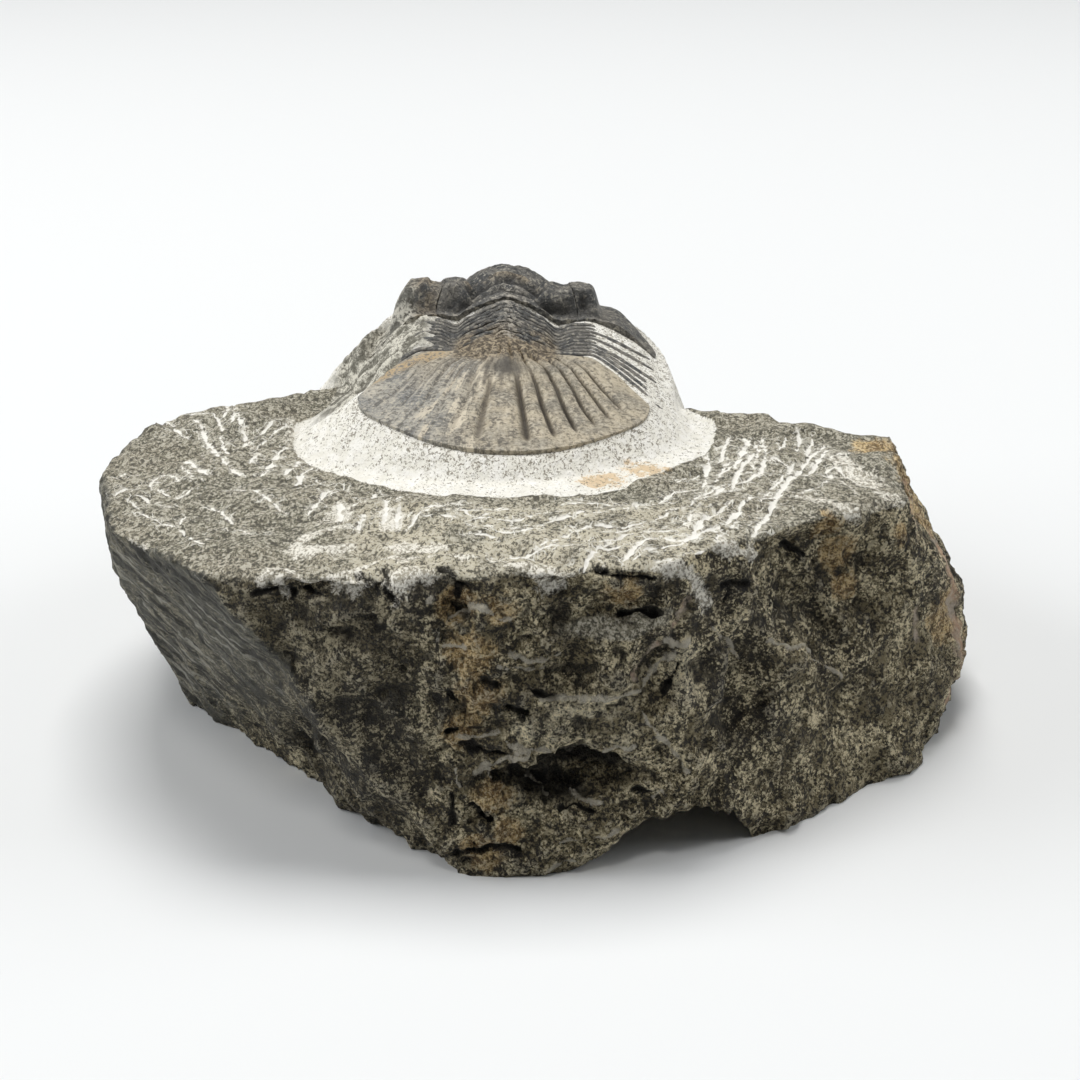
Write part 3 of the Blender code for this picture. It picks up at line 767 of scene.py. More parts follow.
def painted_crevice_shade(places):
    """Painted shade in the deep hollows: 0 outside them, rising to 1 well inside one."""
    below = np.full(len(places), 99.0)
    for _, point, direction in FRACTURES:
        below = np.minimum(below, (np.array(point) - places) @ np.array(Vector(direction).normalized()))
    inside = np.zeros(len(places))
    for _, centre, halves, turns in CREVICES:
        turned = np.array(Euler([math.radians(turn) for turn in turns]).to_matrix())
        reach = np.linalg.norm((places - np.array(centre)) @ turned / np.array(halves), axis=1)
        inside = np.maximum(inside, smooth(1.3, 1.08, reach))
    return inside * smooth(0.8, 3.6, below)


def left_flank(places, away):
    """1 on the smooth slaty face on the block's left, 0 elsewhere."""
    return smooth(0.35, 0.6, -away[:, 0]) * smooth(-12.0, -30.0, places[:, 0] - 0.6 * places[:, 2] + 18.0)


def bulge_at(rock, places, away, rounds):
    """How many millimetres each point stands out from the average of those round it."""
    pairs = np.empty(len(rock.data.edges) * 2, np.int32)
    rock.data.edges.foreach_get("vertices", pairs)
    first, second = pairs.reshape(-1, 2).T
    count = len(places)
    links = np.bincount(first, minlength=count) + np.bincount(second, minlength=count)
    soft = places.copy()
    for _ in range(rounds):
        total = [np.bincount(first, soft[second, k], count) + np.bincount(second, soft[first, k], count)
                 for k in range(3)]
        soft = np.stack(total, axis=1) / links[:, None]
    return ((places - soft) * away).sum(axis=1)


def sweep_of(k):
    """How far behind its middle a segment's tips lie: the tips fan out towards the tail."""
    return 1.0 + TIP_FAN * (k - 1.0) ** 2


def segment_line(k):
    """Centre line of one thoracic segment, tip to tip: x, y and half width."""
    pitch = (NECK_Y - TAIL_FRONT_Y) / SEGMENTS
    y = NECK_Y - (k - 0.5) * pitch
    sweep = sweep_of(k)
    half = 0.5 * (pitch - PLATE_GAP)
    right = [(0.0, y + 0.5, half), (3.4, y - 0.5, 0.95 * half), (AXIS_HALF, y - 1.6, 0.95 * half),
             (9.4, y - 1.4, half), (PLEURA_BEND, y - 1.3, half)]
    reach = HALF_THORAX - 1.3 * math.exp(-0.6 * (k - 1))
    broad = half if k < SEGMENTS - 1 else 0.74 * half
    for t, width in ((0.25, 1.45), (0.5, 1.6), (0.75, 1.5), (0.93, 0.95), (1.0, 0.25)):
        right.append((PLEURA_BEND + (reach - PLEURA_BEND) * t, y - 1.3 - sweep * t ** 1.15, broad * width))
    left = [(-x, place, width) for x, place, width in reversed(right[1:])]
    return left + right


def left_crust(x, y):
    """1 where matrix still covers the left pleurae, 0 elsewhere; the last pleura is clean."""
    line = rounded([(a, b) for a, b, _ in segment_line(SEGMENTS)], closed=False, steps=4)
    order = np.argsort(line[:, 0])
    clean_above = np.interp(x, line[order, 0], line[order, 1]) + 0.7 - 3.5 * smooth(-13.5, -15.5, x)
    across = smooth(-9.0, -12.0, x)
    ahead = y - 0.12 * (x + 12) - 6.0 * smooth(-13.0, -17.0, x)
    return across * smooth(0.0, 0.8, y - clean_above) * (1.0 - smooth(51.0, 53.5, ahead))


def segment_at(x, y):
    """Which segment a place among the pleurae is on, from the neck: whole numbers lie on middle lines."""
    pitch = (NECK_Y - TAIL_FRONT_Y) / SEGMENTS
    t = np.clip((np.abs(x) - PLEURA_BEND) / (HALF_THORAX - PLEURA_BEND), 0.0, 1.3) ** 1.15
    behind = NECK_Y - y - 1.3 - t - 0.5 * pitch
    root = np.sqrt(np.maximum(pitch ** 2 + 4.0 * TIP_FAN * t * behind, 0.0))
    return np.clip(1.0 + 2.0 * behind / (pitch + root), 0.0, SEGMENTS + 1.0)


def crust_layers(x, y):
    """Uneven layers in the crust that follow the segments under it, from about -1 to 1."""
    lines = np.stack([x / 4.5, 0.8 * segment_at(x, y), np.zeros(np.shape(x))], axis=1)
    return noise_at(lines, 1.0) + 0.6 * noise_at(lines + 9.0, 0.45)


def tail_front(x):
    """How far forward the tail's front edge lies."""
    half = [place for place in TAIL_SIDE if place[1] > 20.0]
    return blend(half, np.abs(x))


def left_drop(x):
    """How much lower the worn left side lies than the right."""
    return 1.5 * smooth(-11.0, -16.0, x) + 1.9 * smooth(-15.5, -21.0, x)


def bed_height(x, y, lumps):
    """Height of the prepared limestone: the mould under the plates, the strips between, the apron outside."""
    gap, foot_x, foot_y = outline_distance(x, y)
    side = smooth(29.0, 37.0, foot_y)
    beside = 0.4 * np.minimum(gap, SHOULDER) + SHOULDER_FALL * np.maximum(0.0, gap - SHOULDER)
    craggy = smooth(-13.0, -17.0, foot_x) * side
    fall = RING_FALL * gap * (1.0 - side) + beside * side * (1.0 - craggy)
    fall += (1.15 * gap - 0.7 * lumps) * craggy
    apron = skin(foot_x, foot_y) - RING_START - fall - left_drop(foot_x) * side * smooth(52.0, 46.0, foot_y)
    ring = np.maximum(apron, rock_top(x, y) - RING_DEPTH)
    crust = left_crust(x, y)
    behind_edge = tail_front(x) - y
    shallow = smooth(9.5, 12.5, x) * smooth(1.0, 0.0, behind_edge)
    under_shell = 1.1 * smooth(0.5, 1.5, behind_edge) * smooth(-0.8, -1.8, gap)
    mould = skin(x, y) - STRIP_DEPTH * (1.0 - 0.6 * shallow) - under_shell
    mould -= 0.35 * smooth(8.0, 11.0, -np.abs(x) + 19.0) * (1.0 - crust) * (1.0 - shallow)
    layers = crust_layers(x, y)
    mould += crust * (STRIP_DEPTH + 0.3 + 0.45 * lumps + 0.75 * layers - left_drop(x))
    share = smooth(-0.5, 0.3, gap)
    return mould * (1.0 - share) + ring * share, gap, apron


def shape_surface(block, grooves, lips, cracks, chalk):
    """Gives the rock its broken sides, prepared bed and tool grooves, and records what the finish needs."""
    places, away = points_of(block), rows_of(block.data.vertices, "normal")
    at_base = places[:, 2] < 0.01
    top = is_top(places, away)
    x, y = places[:, 0] - AXIS_X, places[:, 1]
    lumps = noise_at(places, 1.9) + 0.6 * noise_at(places, 0.9)
    ragged_edge = 0.35 * noise_at(places, 2.2) + 0.2 * noise_at(places, 0.8)
    lip, crack = mark_distance(lips, places), mark_distance(cracks, places)
    raised, sunk = (np.clip(1.0 - mark ** 2, 0.0, 1.0) for mark in (lip, crack))
    line_relief = LIP_HEIGHT * raised - CRACK_DEPTH * sunk
    moved = places + away * (break_relief(places, away) + line_relief)[:, None]
    height, gap, apron = bed_height(x, y, lumps)
    height += 0.05 * noise_at(places, 0.7)
    beyond_ring = gap - ring_width(x, y)
    moved[top, 2] -= (TROUGH * (1.0 - smooth(0.0, TROUGH_REACH, beyond_ring)))[top]
    edge = beyond_ring + ragged_edge * smooth(1.0, 4.0, gap)
    beyond = np.where((gap < APRON_REACH) & (apron > moved[:, 2]), 0.0, smooth(-0.15, 0.35, edge))
    groove = np.full(len(places), FAR)
    groove[top] = groove_distance(grooves, x[top], y[top])
    groove += FAR * (1.0 - smooth(-0.3, 0.2, edge))
    cut = np.clip(1.0 - groove ** 2, 0.0, 1.0)
    rough_top = moved[:, 2] - GROOVE_DEPTH * cut
    moved[top, 2] = (height * (1.0 - beyond) + rough_top * beyond)[top]
    moved[top, :2] = places[top, :2]
    moved = np.clip(moved, in_block(np.array(CAD_LOW)), in_block(np.array(CAD_HIGH)))
    moved[at_base, 2] = 0.0
    set_points(block, moved)
    bevel = smooth(-5.0, -13.0, y) * smooth(27.0, 16.0, np.abs(places[:, 0] + 1.0))
    bulge = bulge_at(block, moved, away, 2) / 0.16 + bulge_at(block, moved, away, 14) / 0.8
    write_attributes(
        block,
        ring_edge=np.where(top, np.where(beyond == 0.0, -abs(edge) - 0.5, edge), FAR),
        shell_gap=gap,
        groove=groove,
        lip=lip,
        crack=crack,
        chalk=mark_distance(chalk, places),
        # deep: painted shade inside the crevices
        deep=painted_crevice_shade(places),
        crust=left_crust(x, y) * smooth(7.0, 3.0, gap + 0.8 * lumps) * top,
        bevel=bevel * top,
        band=crust_layers(x, y),
        # bulge, on the sides only: below zero in hollows, where the finish paints shade, above zero on edges,
        # which it paints worn
        bulge=np.clip(0.5 * bulge, -1.0, 1.0) * ~top,
        # side: 1 on the broken sides, 0 on the top; the finish paints the sides darker than the top, partly
        # their own tone and partly painted shade
        side=1.0 - smooth(0.35, 0.75, away[:, 2]) * smooth(20.0, 26.0, places[:, 2]),
        slate=left_flank(places, away),
        rim=rim_wear(moved, away),
        ochre=near_spots(moved, OCHRE_SPOTS),
        bruise=smooth(0.0, 0.4, near_spots(moved, PALE_SPOTS)),
        # Painted shade on the left end of the front, below the overhanging rim
        dim=smooth(-8.0, -18.0, places[:, 0]) * smooth(-12.0, -22.0, y),
        calcite=vein_distance(moved),
    )


# Marks on the rock: place and reach
OCHRE_SPOTS = (
    ((-9.0, -34.8, 31), 3.2), ((-5, -33.8, 30.5), 3.6), ((-7.5, -35.5, 26), 4.2), ((-6.5, -36.5, 21), 4.0),
    ((-8.2, -37, 17), 3.4), ((-5, -38, 10), 4.0), ((-6.4, -38.5, 3), 3.6), ((-3.3, -38.2, 5), 2.6),
    ((9, -33, 31), 3.6), ((34.8, -9.5, 27), 3.8), ((35.6, -9.3, 23), 3.0), ((33.1, -12.3, 31), 2.8),
    ((42.5, -6.3, 28), 2.2), ((49, 0, 15), 6.0), ((51, 8, 8), 6.0), ((47, 6, 27), 6.0), ((48, 12, 30), 6.0),
    ((44.5, 18.5, 29.5), 6.5), ((7.5, 1.0, 32.5), 5.0), ((13, 6, 32.6), 4.5),
)
PALE_SPOTS = (
    ((3.5, -38.0, 17.8), 5.0), ((8.5, -37.5, 18.2), 4.5), ((-1.5, -37.5, 17.5), 3.0),
    ((17.0, -33.0, 22.0), 4.0),
)
# Veins: half width, then places
VEINS = (
    (0.9, (46.5, 10.6, 29.0), (44.8, -3.6, 27.0), (44.8, -4.6, 24.2), (45.5, -5.8, 14.2), (45.3, -7.0, 6.7)),
    (2.4, (48.6, 4.0, 27.0), (51.2, 3.0, 19.0), (52.2, 2.5, 11.0), (51.2, -0.5, 3.0)),
    (0.7, (16.3, -29.9, 29.5), (13.0, -32.2, 25.8), (9.2, -34.4, 20.8)),
)


def near_spots(places, spots):
    """From 1 at a spot's centre to 0 at its reach, for whichever spot is nearest in that sense."""
    found = np.zeros(len(places))
    for centre, reach in spots:
        away = np.linalg.norm(places - np.array(centre), axis=1)
        found = np.maximum(found, np.clip(1.0 - away / reach, 0.0, 1.0))
    return found


def vein_distance(places):
    """Distance from the nearest vein, in half widths of it."""
    found = np.full(len(places), FAR)
    for half, *vein in VEINS:
        for a, b in zip(vein, vein[1:]):
            a, side = np.array(a), np.array(b) - np.array(a)
            t = np.clip((places - a) @ side / side.dot(side), 0.0, 1.0)
            found = np.minimum(found, np.linalg.norm(places - a - t[:, None] * side, axis=1) / half)
    return found


def rim_wear(places, away):
    """How near each point is to the worn rim between the top and the front, from 0 to 1."""
    tilt = smooth(0.15, 0.45, away[:, 2]) * (1.0 - smooth(0.8, 0.93, away[:, 2]))
    return tilt * smooth(27.5, 30.5, places[:, 2]) * (places[:, 1] < 40.0)


def make_rock(finish):
    rock = rough_block()
    hollow_out(rock)
    apply_modifier(rock, "REMESH", mode="VOXEL", voxel_size=ROCK_VOXEL * MM)
    flatten_base(rock)
    split_faces(rock, seen_closely)
    grooves = groove_finder()
    tree = BVHTree.FromObject(rock, bpy.context.evaluated_depsgraph_get())
    lips, cracks, chalk = (mark_finder(tree, marks) for marks in (LIPS, CRACKS_AND_SHADE_LINES, CHALK))
    split_faces(rock, lambda centres, normals: beside_groove(grooves, centres, normals))
    split_faces(rock, lambda centres, _: np.minimum(*(mark_distance(marks, centres)
                                                      for marks in (lips, cracks))) < 1.5)
    shape_surface(rock, grooves, lips, cracks, chalk)
    bpy.ops.object.shade_smooth()
    rock.data.materials.clear()
    rock.data.materials.append(finish)
    return rock


def flatten_base(rock):
    """Levels the lowest row of points to the base and makes the base one flat face."""
    places = points_of(rock)
    places[places[:, 2] < 0.55 * ROCK_VOXEL, 2] = 0.0
    set_points(rock, places)
    flat = [face.center.z < 1e-6 and face.normal.z < -0.9 for face in rock.data.polygons]
    edit_faces(rock, flat, bpy.ops.mesh.dissolve_faces)


def beside_groove(grooves, centres, normals):
    """Faces of the top within reach of a groove or of the ring's edge."""
    x, y = centres[:, 0] - AXIS_X, centres[:, 1]
    near = np.zeros(len(centres), bool)
    top = is_top(centres, normals)
    gap, _, _ = outline_distance(x[top], y[top])
    edge = gap - ring_width(x[top], y[top])
    groove = groove_distance(grooves, x[top], y[top])
    near[top] = ((groove < 1.5) & (edge > -0.3)) | (np.abs(edge) < 0.6)
    return near


# Plates of the shell

def thicken(plate, finish):
    """Turns a plate's outer surface into a closed plate of the shell's thickness."""
    edit_all(plate, bpy.ops.mesh.remove_doubles, threshold=0.002 * MM)
    if sum(face.normal.z * face.area for face in plate.data.polygons) < 0:
        edit_all(plate, bpy.ops.mesh.flip_normals)
    apply_modifier(plate, "SOLIDIFY", thickness=SHELL * MM, offset=-1.0)
    bpy.ops.object.shade_smooth_by_angle(angle=math.radians(50))
    plate.data.materials.append(finish)


def sheet_grid(name, columns, rows):
    """A grid of unit size, and each point's place across and along it, from 0 to 1."""
    bpy.ops.mesh.primitive_grid_add(x_subdivisions=columns, y_subdivisions=rows, size=1.0)
    plate = bpy.context.object
    plate.name = name
    across, along, _ = np.round(rows_of(plate.data.vertices, "co") + 0.5, 6).T
    return plate, across, along


def outline_reach(outline, centre, angles):
    """How far the closed outline lies from the centre in each direction."""
    reach = np.zeros(len(angles))
    ray_x, ray_y = np.cos(angles), np.sin(angles)
    for a, b in zip(outline, np.roll(outline, -1, axis=0)):
        side = b - a
        across = ray_x * side[1] - ray_y * side[0]
        safe = np.where(np.abs(across) < 1e-9, 1e-9, across)
        rel = a - centre
        far = (rel[0] * side[1] - rel[1] * side[0]) / safe
        along = (rel[0] * ray_y - rel[1] * ray_x) / safe
        hit = (np.abs(across) > 1e-9) & (along > -1e-6) & (along < 1 + 1e-6)
        reach = np.where(hit, np.maximum(reach, far), reach)
    return reach


def fan_sheet(name, outline, centre, angle_of, columns, rows, top):
    """A plate's outer surface on rays from a centre to its outline."""
    plate, across, along = sheet_grid(name, columns, rows)
    angles = angle_of(across)
    centre = np.array(centre, float)
    reach = outline_reach(outline, centre, angles) * along ** 0.9
    x, y = centre[0] + reach * np.cos(angles), centre[1] + reach * np.sin(angles)
    places = np.stack([x + AXIS_X, y, np.zeros(len(x))], axis=1)
    places[:, 2] = top(x, y, places)
    set_points(plate, places)
    return plate, x, y, places


# How far from the axis each furrow of the tail lies, at places along the axis: they curve outwards to the rim
FURROWS = (
    ((8, 3.2), (12, 2.9), (18, 2.4), (24, 1.9), (29, 1.2), (33, 0.6)),
    ((8, 6.8), (12, 6.0), (18, 4.9), (24, 4.2), (29, 3.3), (33, 1.9)),
    ((8, 10.4), (12, 9.1), (18, 7.7), (24, 6.7), (29, 5.5), (33, 3.4)),
    ((8, 14.0), (12, 12.4), (18, 10.2), (24, 8.9), (29, 7.4), (33, 5.0)),
    ((8, 17.0), (12, 15.4), (18, 12.9), (24, 10.8), (29, 9.0), (33, 6.8)),
    ((8, 21.0), (12, 19.0), (18, 16.0), (24, 13.0), (29, 10.9), (33, 8.8)),
    ((8, 24.0), (12, 22.0), (18, 18.7), (24, 15.3), (29, 12.9), (33, 11.0)),
)


def rib_at(x, y):
    """Which rib a place on the tail is on, from the axis: whole numbers lie on the ribs' crests."""
    lines = [blend(furrow, y) for furrow in FURROWS]
    rib = np.minimum(0.5, 0.5 * np.abs(x) / lines[0])
    for inner, outer in zip(lines, lines[1:]):
        rib += np.clip((np.abs(x) - inner) / (outer - inner), 0.0, 1.0)
    return rib * np.sign(x)


def furrow_depth(x, y):
    """How deep the tail's furrows are here, from 0 to 1: deeper on the right, none at the rim."""
    reach = np.hypot(x, FAN_Y - y)
    rib = rib_at(x, y)
    gap, _, _ = outline_distance(x, y)
    inside = smooth(0.0, 6.0, reach) * (1.0 - smooth(6.0, 6.5, np.abs(rib)))
    border = smooth(1.4, 5.4, -gap) * smooth(0.6, 3.0, tail_front(x) - y)
    beside = np.abs(rib - np.round(rib))
    furrow = 0.62 * smooth(RIB_FLAT, 0.5, beside) + 0.38 * (2.0 * beside) ** 2
    side = 0.34 + 0.66 * smooth(-1.8, 0.8, rib)
    return furrow * inside * border * side


def tail_top(x, y, places):
    crust = axis_crust(x, y)
    lumps = noise_at(places, 1.7) + 0.6 * noise_at(places, 0.7)
    lines = np.stack([2.6 * rib_at(x, y), 0.07 * np.hypot(x, FAN_Y - y), np.zeros(len(x))], axis=1)
    wave = 0.07 * noise_at(places, 4.0) + 0.10 * noise_at(lines, 1.0) + 0.03 * noise_at(places, 0.8)
    return skin(x, y) - RIB_DEPTH * furrow_depth(x, y) + wave + crust * (0.1 + 0.3 * lumps)


def axis_crust(x, y):
    """1 where brown crust covers the front of the tail's axis."""
    return smooth(0.0, 1.6, AXIS_HALF + 1.2 - np.abs(x)) * smooth(29.8, 32.0, y - 0.06 * np.abs(x))


def make_tail(finish):
    outline = rounded(mirrored(TAIL_SIDE), steps=10)
    def angle_of(across):
        """Most of the columns go to the ribbed fan, the rest to the front."""
        fan = -math.pi / 2 + FAN_HALF_TURN - np.minimum(across / 0.7, 1.0) * 2 * FAN_HALF_TURN
        front = np.maximum(across - 0.7, 0.0) / 0.3 * (2 * math.pi - 2 * FAN_HALF_TURN)
        return fan - front

    tail, x, y, _ = fan_sheet("pygidium_shell", outline, (0, FAN_Y), angle_of, 360, 66, tail_top)
    front_left = smooth(0.0, 1.6, 2.4 - np.abs(y - (35.0 + 0.75 * (x + 6)))) * smooth(-6.0, -9.0, x)
    # furrow: the finish paints the furrows dark brown, with painted shade at their bottoms
    write_attributes(tail, furrow=furrow_depth(x, y), rib=rib_at(x, y), reach=np.hypot(x, FAN_Y - y),
                     crust=axis_crust(x, y), ochre=front_left)
    thicken(tail, finish)
    return tail


def keel_at(x):
    """1 on the worn keel of the axis, 0 away from it."""
    return bell(x, 0.6, 1.6)


def make_segment(k, finish):
    """One thoracic segment as a rounded band from tip to tip."""
    plate, across, along = sheet_grid(f"thoracic_plate_{k:02d}", 150, 8)
    line = rounded(segment_line(k), closed=False, steps=6)
    run = run_along(line)
    at = across * run[-1]
    ahead = 0.4
    (x0, y0, _), (x, y, half), (x1, y1, _) = ([np.interp(at + step, run, column) for column in line.T]
                                              for step in (-ahead, 0.0, ahead))
    length = np.hypot(x1 - x0, y1 - y0)
    offset = 2.0 * along - 1.0
    half *= 1.0 + 0.22 * noise_at(np.stack([x, np.full(len(x), 3.0 * k), np.zeros(len(x))], axis=1), 2.0)
    px, py = x - (y1 - y0) / length * offset * half, y + (x1 - x0) / length * offset * half
    places = np.stack([px + AXIS_X, py, np.zeros(len(px))], axis=1)
    lift = -0.34 * np.abs(offset) ** 2.6 - 0.1 * offset * (np.abs(px) < AXIS_HALF)
    on_axis = smooth(7.0, 5.0, np.abs(px))
    wear = (0.06 + 0.2 * on_axis) * noise_at(places, 1.8) + (0.04 + 0.1 * on_axis) * noise_at(places, 0.7)
    start = -13.5 if k == SEGMENTS else -10.8 + 1.5 * math.sin(2.3 * k)
    left_end = smooth(start, start - 2.5, px) * (2.0 + 2.4 * smooth(-14.0, -19.0, px))
    right_end = 2.0 * smooth(12.2, 14.2, px) if k in COVERED else 0.5 * smooth(18.6, 19.8, px) * (k > 7)
    places[:, 2] = skin(px, py) + lift + wear - left_end - right_end
    set_points(plate, places)
    # furrow: 1 along the plate's front and back edges, where the finish paints shade between the plates
    write_attributes(plate, keel=keel_at(px), furrow=smooth(0.5, 0.95, np.abs(offset)),
                     crust=axis_crust(px, py + 0.5) * smooth(46.0, 37.0, py))
    thicken(plate, finish)
    return plate


# Head

def knob(place, centre, half):
    """A rounded block across: near 1 within this half width of the centre."""
    return np.exp(-((place - centre) / half) ** 6)


def eye_mound(x, y, side):
    """The raised eye and the lobe beside it, further apart on the left than on the right."""
    across = side * x
    if side > 0:
        height = np.maximum(3.8 * knob(across, 10.5, 2.6), 3.5 * knob(across, 7.0, 3.0))
    else:
        height = np.maximum(3.9 * knob(across, 13.5, 3.1), 3.6 * knob(across, 7.6, 2.7))
        height = np.maximum(height, 3.1 * knob(across, 10.4, 3.0))
    along = smooth(52.0, 54.6, y) * (1.0 - smooth(58.2, 61.4, y))
    return height * along


def across_middle(x, y, row, half):
    """1 along a line that crosses the middle of the head at this row, 0 away from it."""
    return bell(y + FURROW_BEND * x * x, row, half) * (1.0 - smooth(5.0, 7.5, np.abs(x)))


def slit_span(x):
    """1 between the two ends of the slit behind the right eye, 0 outside them."""
    return smooth(4.8, 5.8, x) * smooth(9.9, 8.9, x)


def head_top(x, y, places):
    eye = eye_mound(x, y, 1.0) + eye_mound(x, y, -1.0)
    neck = 0.6 * across_middle(x, y, NECK_FURROW_Y, 0.55)
    fold = 0.5 * across_middle(x, y, FOLD_Y, 0.6) - 0.55 * across_middle(x, y, LOBE_FURROW_Y, 0.6)
    pit = 1.5 * bell(x, 10.9, 0.9) * bell(y, 53.7, 0.7)
    slit = 0.8 * bell(y - 0.05 * (x - 7.4) ** 2, 52.9, 0.32) * slit_span(x)
    wear = 0.35 * noise_at(places, 2.3) + 0.2 * noise_at(places, 0.9) + 0.07 * noise_at(places, 0.45)
    rough_left = 0.6 * noise_at(places, 2.6) * smooth(-5.5, -8.0, x) * smooth(1.0, 2.5, eye)
    calm = 1.0 - 0.75 * smooth(12.0, 14.0, x)
    cheek = 0.9 * bell(x, 16.0, 2.6)
    height = flank_height(x, y) + np.maximum(axis_rise(x, y), eye) + fold - neck - pit - slit + cheek
    height += (wear + rough_left) * calm - 1.3 * smooth(-13.6, -16.0, x) - 1.6 * smooth(-16.0, -20.0, x)
    return np.minimum(height, CAD_HIGH.z / MM - 0.02)


def under_eye(x, y):
    """1 in the shadowed seam below the eyes' back slopes."""
    along = bell(y + 0.03 * np.abs(x), 53.0, 0.5)
    return 0.8 * along * smooth(5.0, 6.5, np.abs(x)) * smooth(16.0, 13.5, np.abs(x))


def full_turn(across):
    return math.pi / 2 - across * 2 * math.pi


def make_cranidium(finish):
    half = ((0, 52.2), (6.0, 51.8), (9.6, 51.7), (9.96, 53.0), (9.04, 55.0), (9.04, 58.5), (9.98, 61.5),
            (10.9, 64.6), (8.6, 66.9), (4.5, 68.2), (0, HEAD_FRONT_Y))
    outline = rounded(mirrored(half), steps=8)
    head, x, y, _ = fan_sheet("cranidium_shell", outline, (0, 59.0), full_turn, 260, 60, head_top)
    furrow = across_middle(x, y, NECK_FURROW_Y, 0.55) + across_middle(x, y, LOBE_FURROW_Y, 0.5)
    furrow += bell(y, 52.9, 0.4) * slit_span(x) + under_eye(x, y)
    # furrow: the finish paints shade in the furrows, the slit and the seam under the eyes
    write_attributes(head, furrow=np.clip(furrow, 0.0, 1.0), crust=0.8 * across_middle(x, y, FOLD_Y, 0.6),
                     keel=keel_at(x) * smooth(56.5, 55.0, y))
    thicken(head, finish)
    return head


def make_cheek(name, side, finish):
    """One free cheek: outside the facial suture, with its eye, and with a genal spine on the right."""
    suture = [(10.0, 51.6), (10.1, 53.0), (9.15, 55.1), (9.15, 58.4), (10.1, 61.3), (11.1, 64.4)]
    rim = [(12.6, 64.4), (15.4, 61.8), (18.6, 56.4), (20.2, 52.6)]
    spine = [(21.1, 49.6), (21.0, 47.4), (20.4, 47.4), (19.5, 49.6)] if side > 0 else [(19.6, 49.6)]
    hind = [(17.6, 50.4), (14.6, 51.2), (12.0, 51.5)]
    outline = rounded([(side * x, y) for x, y in suture + rim + spine + hind], steps=6)
    cheek, x, y, places = fan_sheet(name, outline, (side * 14.2, 56.0), full_turn, 220, 44, head_top)
    pit = bell(x, 10.9, 0.9) * bell(y, 53.7, 0.8)
    matrix = smooth(-12.2, -14.2, x + 0.3 * noise_at(places, 1.5)) * smooth(4.4, 3.4, eye_mound(x, y, side))
    # furrow: the finish paints shade in the pit and the seam under the eye
    write_attributes(cheek, furrow=np.clip(pit + under_eye(x, y), 0.0, 1.0),
                     crust=0.55 * smooth(-9.0, -11.0, x), matrix=matrix)
    thicken(cheek, finish)
    return cheek


# Finishes

def add_node(tree, kind, inputs=None, **settings):
    """A shader node, with each input set to a value or linked to another node's output."""
    made = tree.nodes.new("ShaderNode" + kind)
    for name, value in settings.items():
        setattr(made, name, value)
    for name, value in (inputs or {}).items():
        socket = made.inputs[name]
        if isinstance(value, bpy.types.NodeSocket):
            tree.links.new(value, socket)
        else:
            socket.default_value = value
    return made


def work_out(tree, operation, first, second=0.0):
    return add_node(tree, "Math", {0: first, 1: second}, operation=operation).outputs[0]


def ramp(tree, value, low, high):
    """0 where the value is at low, 1 where it is at high, and smooth between."""
    made = add_node(tree, "MapRange", {"Value": value, "From Min": low, "From Max": high},
                    interpolation_type="SMOOTHSTEP")
    return made.outputs["Result"]


def share_of(tree, *shares):
    """The product of shares: each is a number, a value, or a value with the two ends of its ramp."""
    product = None
    for share in shares:
        if isinstance(share, tuple):
            share = ramp(tree, *share)
        product = share if product is None else work_out(tree, "MULTIPLY", product, share)
    return product


def mix(tree, share, first, second):
    """A colour between two, by one share."""
    made = tree.nodes.new("ShaderNodeMix")
    made.data_type = "RGBA"
    for index, value in ((0, share_of(tree, share)), (6, first), (7, second)):
        if isinstance(value, bpy.types.NodeSocket):
            tree.links.new(value, made.inputs[index])
        else:
            made.inputs[index].default_value = value if index == 0 else (*value, 1.0)
    return made.outputs[2]


def lay(tree, colour, *layers):
    """The colour with others laid over it in turn. Each layer is a colour and its shares."""
    for over, *shares in layers:
        colour = mix(tree, share_of(tree, *shares), colour, over)
    return colour


def attribute(tree, name):
    return add_node(tree, "Attribute", attribute_name=name).outputs["Fac"]


def weigh(tree, *terms):
    """The sum of values that are each multiplied by a number."""
    total = 0.0
    for value, weight in terms:
        total = work_out(tree, "ADD", work_out(tree, "MULTIPLY", value, weight), total)
    return total


def grain(tree, place, size, detail=2.0, roughness=0.5, distortion=0.0):
    """Noise from 0 to 1 with lumps of this size in millimetres."""
    made = add_node(tree, "TexNoise", {"Vector": place, "Scale": 1.0 / (size * MM), "Detail": detail,
                                       "Roughness": roughness, "Distortion": distortion})
    return made.outputs["Fac"]


def crystals(tree, place, size):
    """A value from 0 to 1 for each crystal of this size in millimetres."""
    made = add_node(tree, "TexVoronoi", {"Vector": place, "Scale": 1.0 / (size * MM)})
    return add_node(tree, "SeparateColor", {"Color": made.outputs["Color"]}).outputs["Red"]


def new_finish(name, roughness):
    finish = bpy.data.materials.new(name)
    finish.use_nodes = True
    tree = finish.node_tree
    shader = tree.nodes["Principled BSDF"]
    shader.inputs["Roughness"].default_value = roughness
    shader.inputs["Metallic"].default_value = 0.0
    place = add_node(tree, "TexCoord").outputs["Object"]
    return finish, tree, shader, place


def weigh_places(tree, place, value, reach):
    """The place moved along a slanting line by a value, this many millimetres for each 1."""
    slant = (0.8 * MM, 1.1 * MM, -0.9 * MM)
    away = add_node(tree, "VectorMath", {0: slant, "Scale": value}, operation="SCALE").outputs[0]
    return add_node(tree, "VectorMath", {0: away, 1: (reach, reach, reach), 2: place},
                    operation="MULTIPLY_ADD").outputs[0]


def give_bump(tree, shader, layers, strength=1.0):
    """Bump from (height, depth in millimetres) layers, the broadest first."""
    normal = None
    for height, depth in layers:
        inputs = {"Height": height, "Strength": strength, "Distance": depth * MM}
        if normal:
            inputs["Normal"] = normal
        normal = add_node(tree, "Bump", inputs).outputs["Normal"]
    tree.links.new(normal, shader.inputs["Normal"])


